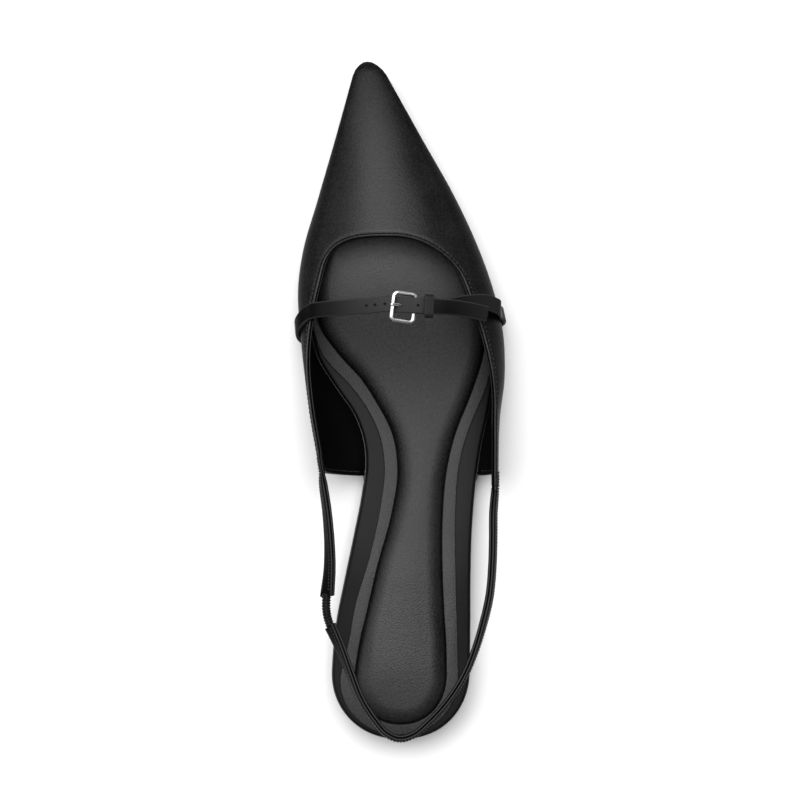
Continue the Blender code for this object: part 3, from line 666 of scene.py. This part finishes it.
upperCut = {
    "samplesPerRib": 6, "ribPitch": 6.8, "backRun": 0.6, "backSamples": 18, "rows": 32,
    "outer": 1.02, "lining": 0.72, "liningDrop": 0.1, "edgeRound": 0.3, "liningRound": 0.21,
    # over each folded edge: inset from the topline, and depth under the layer's face
    "outerEdge": ((4.0, 0.0), (2.9, 0.0), (2.2, 0.01), (1.85, 0.08), (1.6, 0.2), (1.38, 0.25), (1.18, 0.18),
                  (0.98, 0.02), (0.78, -0.1), (0.52, -0.14), (0.28, -0.06), (0.1, 0.12), (0.0, 0.42),
                  (0.08, 0.74), (0.24, 0.93), (0.5, 1.0), (1.2, 1.02), (4.0, 1.02)),
    "liningEdge": ((4.0, 0.0), (1.2, 0.0), (0.5, 0.0), (0.25, 0.04), (0.08, 0.14), (0.0, 0.34),
                   (0.08, 0.56), (0.25, 0.68), (0.5, 0.72), (1.2, 0.72), (4.0, 0.72)),
    "quarterFeather": 102.5, "quarterTop": 104.4, "tabStart": 0.55, "tabReach": 7.0, "tabRibs": 4,
    "throatSideY": 177.0, "throatDepth": 18.1, "throatPower": {"med": 3.5, "lat": 2.1},
}
foldInsets, foldDepths = np.array(upperCut["outerEdge"][:13])[::-1].T  # down to the edge's outermost point
ribRuns = SizeTable(  # ribs of a half upper, where they stand on the feather edge and on the topline
    "rib feather rise top",
    (0, upperCut["quarterFeather"], -last["tuck"], upperCut["quarterTop"]),
    (9, 165.0, -last["tuck"], 165.0),
    (20, noseStart, -last["tuck"], upperCut["throatSideY"] + 32),
    (24, tipPlace, -last["tuck"], upperCut["throatSideY"] + 48),
    (30, tipPlace, 90.0, upperCut["throatSideY"] + 90))
lastRib = 30

# Soft dents and swells of the leather: y, degrees round from the medial widest line, half length
# along the shoe, half width in degrees, and height in millimetres
leatherFolds = (
    (122, 172, 13, 16, -0.35), (140, 165, 10, 12, 0.25), (118, -14, 12, 14, -0.3), (189, 52, 9, 9, -0.22),
    (190, 130, 9, 9, -0.25), (205, 118, 12, 12, 0.18), (214, 70, 16, 14, 0.15))


def toplineAt(side, top):
    c = upperCut
    turn = np.radians(np.clip(top - c["throatSideY"], 0, 90))
    power = 2 / c["throatPower"][side]
    y = np.where(top > c["throatSideY"], c["throatSideY"] + c["throatDepth"] * np.sin(turn) ** power, top)
    fullness = np.maximum(np.cos(turn), 0) ** power
    rise = np.radians(topline.at(side, y))
    return y, np.degrees(np.arccos(np.cos(rise) * fullness))


def ribLine(side, rib, w):  # place and rise on the last, w from 0 at the feather edge to 1 at the topline
    c = upperCut
    rows = ribRuns.column
    feather, footRise, top = (np.interp(rib, rows["rib"], rows[key]) for key in ("feather", "rise", "top"))
    headPlace, headRise = toplineAt(side, top)
    place = feather + w * (headPlace - feather)
    if side == "lat":
        tab = c["tabReach"] * ease(1 - rib / c["tabRibs"])
        place = place - tab * ease((w - c["tabStart"]) / (1 - c["tabStart"]))
    return place, footRise + w * (headRise - footRise)


def foldHeight(side, place, rise):
    around = rise if side == "med" else 180 - rise
    height = np.zeros_like(place)
    for y, turn, long, wide, swell in leatherFolds:
        a, b = (place - y) / long, (around - turn) / wide
        height += swell * np.exp(-a * a - b * b)
    return height


def upperAt(side, rib, w, depth):  # a point of the wall, and its outward direction
    place, rise = ribLine(side, rib, w)
    normal = lastNormal(side, place, rise)
    fade = ease((1 - w) * 8) * ease(w * 5)  # no dents near the topline or the feather edge
    shift = foldHeight(side, place, rise) * fade - depth
    return lastPoint(side, place, rise) + normal * shift[..., None], normal


def bothSides(u, w, depth):  # u from -1 at the medial back to 1 at the lateral back
    rib = (1 - np.abs(u)) * lastRib
    med, medNormal = upperAt("med", rib, w, depth)
    lat, latNormal = upperAt("lat", rib, w, depth)
    isMed = (u <= 0)[..., None]
    return np.where(isMed, med, lat), np.where(isMed, medNormal, latNormal)


def ribLengths(u):
    steps = 60
    w = np.tile(np.linspace(0, 1, steps), len(u))
    points, _ = bothSides(np.repeat(u, steps), w, 0.0)
    points = points.reshape(len(u), steps, 3)
    return np.linalg.norm(np.diff(points, axis=1), axis=2).sum(1)


def wallMesh(shallow, deep, drop, edge, folded):  # up its outside, over its folded edge, down its inside
    c = upperCut
    rows = c["rows"]
    back = np.linspace(0, c["backRun"], c["backSamples"])[:-1]
    ribs = np.concatenate((back, np.linspace(c["backRun"], lastRib, lastRib * c["samplesPerRib"])))
    columns = np.concatenate((ribs / lastRib - 1, (1 - ribs / lastRib)[-2::-1]))
    lengths = ribLengths(columns)
    reach = edge[0][0]
    up = [(k / rows, 0, 0, shallow) for k in range(rows)]
    over = [(1, inset, 1, shallow + under) for inset, under in edge]
    down = [(k / rows, 0, 0, deep) for k in reversed(range(rows))] + [(0, 0, 0, shallow)]
    share, fromTop, onEdge, depths = np.array(up + over + down).T
    lean = np.maximum(folded * (1 - 2 * (depths - shallow) / (deep - shallow)), 0) * folded

    def place(u, v):
        k, column = nearest(v * (len(share) - 1)), nearest(u * (len(columns) - 1))
        u, length = columns[column], lengths[column]
        w = np.where(onEdge[k] > 0, 1 - (fromTop[k] + drop) / length, share[k] * (1 - reach / length))
        fromBack = (1 - np.abs(u)) * lastRib * c["ribPitch"]
        return bothSides(u, w, depths[k] + lean[k] * np.interp(fromBack, foldInsets, foldDepths))[0]

    bm = gridMesh(len(columns) - 1, len(share) - 1, place)
    bmesh.ops.remove_doubles(bm, verts=bm.verts, dist=weldGap)
    fillHoles(bm)
    weld(bm)
    return bm


def makeUpper():
    c = upperCut
    bm = wallMesh(0.0, c["outer"], 0.0, c["outerEdge"], 1)
    roundEdges(bm, c["edgeRound"])
    makePiece("upper_leather", bm, upperLeather, "black_leather", "upper")
    bm = wallMesh(last["wall"] - c["lining"], last["wall"], c["liningDrop"], c["liningEdge"], -1)
    roundEdges(bm, c["liningRound"])
    makePiece("upper_lining", bm, liningLeather, "black_leather")


makeUpper()


# Straps: each route runs up the wall (place along the last, degrees above its widest line), over
# free points (x, y, z, sideways tilt of its face), and past the buckle (along it, and up)

buckle = {
    "middle": np.array([-0.5, 168.2, 47.6]), "turn": -2.5, "frameTurn": -5.0, "frameShift": -0.8,
    "halfLength": 4.2, "halfWidth": 5.2, "corner": 1.5, "rise": 1.2, "wire": 0.8, "prongWire": 0.6,
    "frameSteps": 160, "prongSteps": 120, "squareness": 0.75,
    "prongWay": ((0.0, 2.55), (-3.0, 0.75), (-4.3, 0.0), (-5.2, -0.1)),
}


def turned(a, b, degrees):
    c, s = math.cos(math.radians(degrees)), math.sin(math.radians(degrees))
    return c * a - s * b, s * a + c * b


def atBuckle(along, across, up):  # along the strap, towards the toe, and up
    return buckle["middle"] + np.array([*turned(along, across, buckle["turn"]), up])


def onWall(side, route, lift):
    for place, rise in route:
        normal = lastNormal(side, np.array([place]), np.array([rise]))[0]
        yield lastPoint(side, np.array([place]), np.array([rise]))[0] + normal * lift, normal


def tilted(rows):
    return [(np.array([x, y, z]), upward + np.array([tilt, 0, 0])) for x, y, z, tilt in rows]


def roundedBox(halfA, lowB, highB, corner, count):  # points round a box, and their outward ways
    middle, halfB = (lowB + highB) / 2, (highB - lowB) / 2
    for a, b, start in ((1, 1, 0), (-1, 1, 90), (-1, -1, 180), (1, -1, 270)):
        for degrees in np.linspace(start, start + 90, count):
            c, s = turned(1.0, 0.0, degrees)
            yield a * (halfA - corner) + corner * c, middle + b * (halfB - corner) + corner * s, c, s


def roundStrip(width, thick, edge):  # section of a strap: across it, and out of its face
    return np.array([(a, b) for a, b, *_ in roundedBox(width / 2, -thick / 2, thick / 2, edge, 6)])


def twoPly(width, thick, groove):  # two folded layers side by side, with a groove between
    ply = thick / 4
    points = []
    for end in (1, -1):
        for layer in (1, -1):
            turns = (90, -52) if layer > 0 else (52, -90)
            for degrees in np.linspace(*turns, 8):
                c, s = turned(1.0, 0.0, degrees)
                points.append((end * (width / 2 - ply + ply * c), end * (layer * ply + ply * s)))
            if layer > 0:
                points.append((end * (width / 2 - groove), 0.0))
    return np.array(points)


def roundWire(radius, count, squareness=1.0):
    turns = np.linspace(0, 2 * math.pi, count, endpoint=False)
    c, s = np.cos(turns), np.sin(turns)
    shape = np.stack((np.sign(c) * np.abs(c) ** squareness, np.sign(s) * np.abs(s) ** squareness), axis=1)
    return radius * shape


def rail(points, looks, steps, closed=False):  # evenly spaced places along a route, with their axes
    points, looks = np.array(points, float), np.array(looks, float)
    if closed:
        points, looks = np.vstack((points, points[:1])), np.vstack((looks, looks[:1]))
    places = runLength(points)
    stations = np.linspace(0, places[-1], steps + 1)
    if closed:
        path, looks = linearAt(places, points, stations), linearAt(places, looks, stations)
        along = np.roll(path[:-1], -1, axis=0) - np.roll(path[:-1], 1, axis=0)
        along = np.vstack((along, along[:1]))
    else:
        path, looks = cubicAt(places, points, stations), cubicAt(places, looks, stations)
        along = np.gradient(path, axis=0)
    across = unit(np.cross(looks, along))
    return path, across, unit(np.cross(along, across)), stations


def sweepMesh(track, section, swell=None, closed=False, endRound=0.25, paintedSheenBand=0.65):  # the band's width, in from the edge, of the painted highlight
    path, across, out, _ = track
    steps, count = len(path) - 1, len(section)
    swell = np.ones((steps + 1, 2)) if swell is None else swell
    reach = np.abs(section[:, 0])
    paintedSheenShare = ease((reach - reach.max()) / paintedSheenBand + 1)  # painted highlight along the strap's edges

    def place(u, v):
        i, j = nearest(u * steps), nearest(v * count) % count
        reached = section[j] * swell[i]
        return path[i] + across[i] * reached[:, :1] + out[i] * reached[:, 1:]

    bm = gridMesh(steps, count, place, lambda u, v: paintedSheenShare[nearest(v * count) % count])
    weld(bm)
    if not closed:
        fillHoles(bm)
        if endRound:
            roundEdges(bm, endRound, least=65)
    return bm


def cutAway(piece, bm, sharpAngle=45):  # a Boolean, applied; the cutter goes again
    bmesh.ops.recalc_face_normals(bm, faces=bm.faces)
    mesh = meshFrom("cutter", bm)
    tool = addObject("cutter", mesh)
    change = piece.modifiers.new("cut", "BOOLEAN")
    change.operation = "DIFFERENCE"
    change.solver = "EXACT"
    change.object = tool
    graph = bpy.context.evaluated_depsgraph_get()
    made = bpy.data.meshes.new_from_object(piece.evaluated_get(graph))
    old = piece.data
    piece.modifiers.clear()
    piece.data = made
    made.name = piece.name
    bpy.data.meshes.remove(old)
    bpy.data.objects.remove(tool)
    bpy.data.meshes.remove(mesh)
    piece.data.shade_smooth()
    piece.data.set_sharp_from_angle(angle=math.radians(sharpAngle))


def addSlot(bm, low, high, width):  # across the buckle's middle, from one corner to the other
    for vert in bmesh.ops.create_cube(bm, size=1.0)["verts"]:
        along, up = (low[k] if vert.co[2 * k] < 0 else high[k] for k in (0, 1))
        vert.co = toFrame(atBuckle(along, vert.co.y * width, up))


def addHole(bm, track, along):  # a pricked hole that stops short of the strap's back
    floor, tall = billet["holeFloor"], billet["holeTall"]
    path, across, out, _ = track
    k = np.argmin(np.hypot(*(path[:, :2] - atBuckle(along, 0, 0)[:2]).T))
    middle = toFrame(path[k] + out[k] * (floor + tall / 2))
    turn = placing(across[k], np.cross(out[k], across[k]), out[k], middle)
    point, wide = billet["holePoint"], billet["holeRadius"] * tall / (billet["thick"] / 2 - floor)
    bmesh.ops.create_cone(bm, cap_ends=True, segments=20, radius1=point * mm, radius2=wide * mm,
                          depth=tall * mm, matrix=turn)


billet = {
    "width": 6.0, "thick": 1.6, "edge": 0.55, "steps": 280,
    "wall": ((157.0, -36.5), (159.0, -12.0), (161.0, 4.0), (163.3, 17.0), (165.2, 26.0)),
    "rise": ((-33.8, 166.6, 36.4, -0.55), (-28.6, 167.0, 39.8, -0.42), (-20.5, 167.6, 43.4, -0.28),
             (-13.0, 168.0, 45.7, -0.15)),
    "buckle": ((-7.5, -0.9), (-4.3, -0.75), (0.0, 0.8), (4.3, 2.45), (7.6, 2.5), (11.6, 2.15)),
    "tail": ((20.5, 167.0, 48.0, 0.16), (27.0, 165.9, 46.2, 0.26), (31.5, 164.8, 44.4, 0.34)),
    "holes": (-14.2, -10.9, -7.2, 5.3), "holeRadius": 0.62, "holeFloor": -0.6, "holePoint": 0.02,
    "holeTall": 6, "slot": ((-2.6, -1.6), (-0.4, 3.2), 1.6),
}
base = {
    "width": 6.0, "thick": 1.3, "edge": 0.5, "steps": 300,
    "wall": ((163.9, -36.5), (164.5, -12.0), (165.2, 4.0), (166.2, 16.0)),
    "rise": ((36.0, 168.2, 34.6, 1.3), (31.2, 169.6, 39.6, 0.95), (23.5, 169.2, 43.6, 0.5)),
    "buckle": ((15.0, -1.2), (11.6, -1.05), (8.0, -1.3)), "fold": ((7.6, 0.55), (11.8, 0.5)),
    "slot": ((1.2, -4.0), (7.0, 1.6), 2.2),
}
keeper = {"at": 9.6, "width": 3.5, "thick": 1.0, "edge": 0.38, "room": 0.9, "low": -2.5, "high": 3.8,
          "corner": 1.0, "cornerSteps": 9, "steps": 120}


def makeStrap(node, c, route, closed=False):
    points, looks = zip(*route)
    track = rail(points, looks, c["steps"], closed)
    bm = sweepMesh(track, roundStrip(c["width"], c["thick"], c["edge"]), closed=closed)
    return makePiece(node + "_leather", bm, strapLeather, "strap_leather", node), track


def makeBillet():
    c = billet
    route = list(onWall("med", c["wall"], last["gap"] + c["thick"] / 2)) + tilted(c["rise"])
    route += [(atBuckle(along, 0, up), upward) for along, up in c["buckle"]] + tilted(c["tail"])
    piece, track = makeStrap("strap_billet", c, route)
    bm = bmesh.new()
    addSlot(bm, *c["slot"])
    for along in c["holes"]:
        addHole(bm, track, along)
    cutAway(piece, bm)


def makeBase():
    c = base
    route = list(onWall("lat", c["wall"], 2 * last["gap"] + c["thick"] / 2)) + tilted(c["rise"])
    route += [(atBuckle(along, 0, up), upward) for along, up in c["buckle"]]
    turn = buckle["wire"] + last["gap"] + c["thick"] / 2
    for degrees in (-90, -135, 180, 135, 90):
        a, b = turned(1.0, 0.0, degrees)
        place = atBuckle(buckle["halfLength"] + turn * a, 0, turn * b - buckle["rise"])
        route.append((place, buckle["middle"] - atBuckle(a, 0, b)))
    route += [(atBuckle(along, 0, up), -upward) for along, up in c["fold"]]
    piece, _ = makeStrap("strap_base", c, route)
    bm = bmesh.new()
    addSlot(bm, *c["slot"])
    cutAway(piece, bm)


def makeKeeper():
    k = keeper
    ring = roundedBox(base["width"] / 2 + k["room"], k["low"], k["high"], k["corner"], k["cornerSteps"])
    route = []
    for across, up, c, s in ring:
        route.append((atBuckle(k["at"], across, up), atBuckle(0, c, s) - buckle["middle"]))
    makeStrap("strap_keeper", k, route, closed=True)


def makeBuckle():
    b = buckle
    points = []
    for along, across, *_ in roundedBox(b["halfLength"], -b["halfWidth"], b["halfWidth"], b["corner"], 12):
        a, c = turned(along, across, b["frameTurn"])
        points.append(atBuckle(a, c + b["frameShift"], -b["rise"] * along / b["halfLength"]))
    track = rail(points, [upward] * len(points), b["frameSteps"], closed=True)
    bm = sweepMesh(track, roundWire(b["wire"], 20, b["squareness"]), closed=True)
    makePiece("buckle_frame_wire", bm, nickel, "nickel", "buckle_frame")

    hook = b["wire"] + last["gap"] + b["prongWire"]
    points = []
    for degrees in np.linspace(-60, 180, 12):
        a, c = turned(hook, 0.0, degrees)
        points.append(atBuckle(b["halfLength"] + a, 0, c - b["rise"]))
    points += [atBuckle(along, 0, b["rise"] + hook - below) for along, below in b["prongWay"]]
    sideways = atBuckle(0, 1, 0) - b["middle"]
    track = rail(points, [sideways] * len(points), b["prongSteps"])
    fromEnd = np.minimum(track[3], track[3][-1] - track[3])
    tip = np.sqrt(1 - (1 - np.clip(fromEnd / b["prongWire"], 0.02, 1)) ** 2)
    bm = sweepMesh(track, roundWire(b["prongWire"], 16), np.stack((tip, tip), axis=1), endRound=0)
    makePiece("buckle_prong_pin", bm, nickel, "nickel", "buckle_prong")


makeBillet()
makeBase()
makeKeeper()
makeBuckle()


# Sling: upright straps, their top edge as x, y, z and the lean of the face in degrees

sling = {
    "width": 7.0, "thick": 2.4, "groove": 0.75, "middle": np.array([0.0, 45.0]), "endRound": 0.2,
    # the painted highlight along the folded edges reaches 0.1 mm in from them
    "paintedSheenBand": 0.1, "frontSteps": 140, "backSteps": 400, "drop": 0.15, "hiddenThick": 0.66,
    "hiddenRun": 5.0, "thickens": 6.0,
}
elastic = {"width": 3.4, "thick": 2.8, "edge": 1.1, "steps": 150, "tuckIn": 1.6, "ribPitch": 1.05,
           "ribDepth": 0.12}
slingFront = (
    (-31.1, 103.3, 36.0, 6), (-30.3, 100.0, 36.4, 8), (-28.7, 90.0, 39.0, 13), (-27.6, 79.0, 41.7, 17),
    (-27.1, 68.0, 44.4, 24), (-27.5, 57.4, 47.0, 35))
slingElastic = (
    (-29.2, 56.6, 46.0, 20), (-29.3, 53.0, 46.5, 20), (-28.9, 50.0, 46.9, 20), (-28.1, 47.4, 47.3, 20))
slingBack = (
    (-27.0, 46.8, 49.2, 25), (-23.6, 38.5, 51.0, 18), (-20.0, 28.3, 53.2, 12), (-16.2, 18.7, 54.8, 9),
    (-11.0, 10.8, 56.0, 8), (-7.0, 6.4, 56.4, 8), (-2.2, 4.5, 56.5, 8), (2.5, 5.7, 56.4, 8),
    (8.2, 10.2, 55.8, 8), (15.6, 18.1, 54.6, 8), (22.0, 27.7, 52.8, 9), (26.1, 37.2, 51.0, 10),
    (29.1, 46.8, 49.0, 12), (31.7, 57.5, 46.6, 13), (32.9, 68.3, 44.0, 13), (33.4, 79.0, 41.6, 13),
    (33.6, 88.0, 39.6, 13), (33.8, 96.0, 37.8, 12))


def slingRoute(table, width):  # the strap's middle, and the way its face looks
    rows = np.array(table, float)
    along = np.gradient(rows[:, :2], axis=0)
    outward = unit(np.stack((along[:, 1], -along[:, 0]), axis=1))
    outward *= np.sign(((rows[:, :2] - sling["middle"]) * outward).sum(1))[:, None]
    c, s = np.cos(np.radians(rows[:, 3:])), np.sin(np.radians(rows[:, 3:]))
    return rows[:, :3] + np.hstack((outward * s, -c)) * width / 2, np.hstack((outward * c, s))


def insideWall(side, ribs):  # places between leather and lining, half a strap below the topline
    u = sides[side] * (1 - np.array(ribs) / lastRib)
    w = 1 - (sling["width"] / 2 + sling["drop"]) / ribLengths(u)
    return bothSides(u, w, last["wall"] / 2)


def runOn(points, reach):  # a route carried straight on past its ends
    points = np.array(points, float)
    points[0] += unit(points[0] - points[1]) * reach
    points[-1] += unit(points[-1] - points[-2]) * reach
    return points


def makeSling():
    c = sling
    section = twoPly(c["width"], c["thick"], c["groove"])
    tracks = {}
    points, looks = slingRoute(slingFront, c["width"])
    inner, innerLooks = insideWall("med", (1.0, 0.25))
    front = rail(np.vstack((inner, points[1:])), np.vstack((innerLooks, looks[1:])), c["frontSteps"])
    points, looks = slingRoute(slingBack, c["width"])
    inner, innerLooks = insideWall("lat", (0.25, 1.0))
    back = rail(np.vstack((points[:-1], inner)), np.vstack((looks[:-1], innerLooks)), c["backSteps"])
    pieces = (("sling_front", front, front[3]), ("sling_back", back, back[3][-1] - back[3]))
    for name, track, fromWall in pieces:
        shown = ease((fromWall - c["hiddenRun"]) / c["thickens"])
        thin = c["hiddenThick"] + (1 - c["hiddenThick"]) * shown
        swell = np.stack((np.ones_like(thin), thin), axis=1)
        bm = sweepMesh(track, section, swell, endRound=c["endRound"], paintedSheenBand=c["paintedSheenBand"])
        makePiece(name + "_leather", bm, slingLeather, "strap_leather", name)
        tracks[name] = track
    return tracks


def makeElastic():
    c = elastic
    points, looks = slingRoute(slingElastic, c["width"])
    track = rail(runOn(points, c["tuckIn"]), looks, c["steps"])
    ribs = 1 + c["ribDepth"] * np.sin(2 * math.pi * track[3] / c["ribPitch"])
    bm = sweepMesh(track, roundStrip(c["width"], c["thick"], c["edge"]), np.stack((ribs, ribs), axis=1))
    makePiece("sling_elastic_ribbed", bm, elasticRib, "elastic", "sling_elastic")


slingTracks = makeSling()
makeElastic()


# Stitches: rows of short threads laid on the leather, joined in two meshes

stitches = {"toplineIn": 1.35, "toplinePitch": 1.8, "toplineSamples": 900, "proud": 0.02,
            "backFrom": 0.04, "backBelow": 3.0, "backSamples": 300, "sunk": 0.1,
            "slingIn": 1.3, "slingPitch": 1.25, "long": 0.4, "wide": 0.32, "high": 0.26}


def stitchRow(bm, points, normals, pitch):
    c = stitches
    places = runLength(points)
    spots = np.arange(pitch, places[-1] - pitch, pitch)
    at, up = linearAt(places, points, spots), linearAt(places, normals, spots)
    along = unit(np.gradient(at, axis=0))
    up = unit(up - along * (up * along).sum(1)[:, None])
    for point, a, n in zip(toFrame(at), along, up):
        axes = (a * pitch * c["long"] * mm, np.cross(n, a) * c["wide"] * mm, n * c["high"] * mm)
        turn = placing(*axes, point)
        bmesh.ops.create_uvsphere(bm, u_segments=8, v_segments=5, radius=1.0, matrix=turn)


def makeStitches():
    c = stitches
    u = np.linspace(-1, 1, c["toplineSamples"])
    w = 1 - c["toplineIn"] / ribLengths(u)
    points, normals = bothSides(u, w, -c["proud"])
    bm = bmesh.new()
    stitchRow(bm, points, normals, c["toplinePitch"])
    for end in (-1, 1):  # up the back of each quarter, outside and inside
        u = np.full(c["backSamples"], end * (1 - c["toplineIn"] / upperCut["ribPitch"] / lastRib))
        w = np.linspace(c["backFrom"], 1 - c["backBelow"] / ribLengths(u[:1])[0], c["backSamples"])
        for depth, way in ((c["sunk"], 1), (last["wall"] - c["sunk"], -1)):
            points, normals = bothSides(u, w, depth)
            stitchRow(bm, points, normals * way, c["toplinePitch"])
    makePiece("topline_stitches", bm, thread, "black_leather", recalc=False)
    bm = bmesh.new()
    for path, across, out, _ in slingTracks.values():
        high = np.sign(across[:, 2:]) * across
        reach = sling["width"] / 2 - c["slingIn"]
        for side in (1, -1):
            stitchRow(bm, path + side * high * reach + out * sling["thick"] / 2, out, c["slingPitch"])
    makePiece("sling_stitches", bm, thread, "strap_leather", recalc=False)


makeStitches()


# Camera and light

cameraView = {"place": (-50.67, 127.06, 1300.0), "aim": (-0.5, 132.25, 12.0), "lens": 148.4,
              "sensor": 36.0, "nearest": 0.05}


def makeCamera():
    data = bpy.data.cameras.new("photoView")
    data.lens = cameraView["lens"]
    data.sensor_width = cameraView["sensor"]
    data.clip_start = cameraView["nearest"]
    camera = addObject("photoView", data)
    place = toFrame(cameraView["place"])
    forward = unit(toFrame(cameraView["aim"]) - place)
    right = unit(np.cross(forward, np.array([0.0, 1.0, 0.0])))
    camera.matrix_world = placing(right, np.cross(right, forward), -forward, place)
    scene.camera = camera


studio = {
    "floorSize": 12.0, "floorBelow": 0.05, "floorShade": 0.48, "floorTooth": 0.005, "horizon": 0.16,
    # soft lights of the dome: the way they lie, where their edge starts and ends, and strength
    "lights": (((-0.07, 0.34, 0.94), 0.8, 0.99, 11.5), ((-0.8, 0.1, 0.6), 0.8, 0.99, 2.4)),
}


def makeFloor():
    bm = bmesh.new()
    bmesh.ops.create_grid(bm, x_segments=8, y_segments=8, size=studio["floorSize"] / 2)
    bmesh.ops.translate(bm, verts=bm.verts, vec=(0, 0, -studio["floorBelow"] * mm))
    mesh = meshFrom("floor", bm)
    f = newFinish("floorPaper")
    shade, tooth = studio["floorShade"], studio["floorTooth"]
    paper = f.blend(f.noise(1.5), (shade - tooth,) * 3, (shade + tooth,) * 3)
    mesh.materials.append(f.use(Base_Color=paper, Roughness=0.8))
    addObject("floor", mesh)


def makeDome():
    world = bpy.data.worlds.new("softDome")
    scene.world = world
    f = Finish(world)
    ray = f.node("ShaderNodeTexCoord", output="Generated")
    strength = studio["horizon"]
    for lean, low, high, power in studio["lights"]:
        facing = f.node("ShaderNodeVectorMath", {"operation": "DOT_PRODUCT"},
                        {0: ray, 1: unit(np.array(lean)).tolist()}, "Value")
        strength = strength + f.node("ShaderNodeMapRange", {"interpolation_type": "SMOOTHSTEP"},
                                     {"Value": facing, "From Min": low, "From Max": high, "To Max": power})
    f.feed(f.tree.nodes["Background"], {"Color": (1.0, 1.0, 1.0), "Strength": strength})
    scene.view_settings.view_transform = "Standard"


makeCamera()
makeFloor()
makeDome()
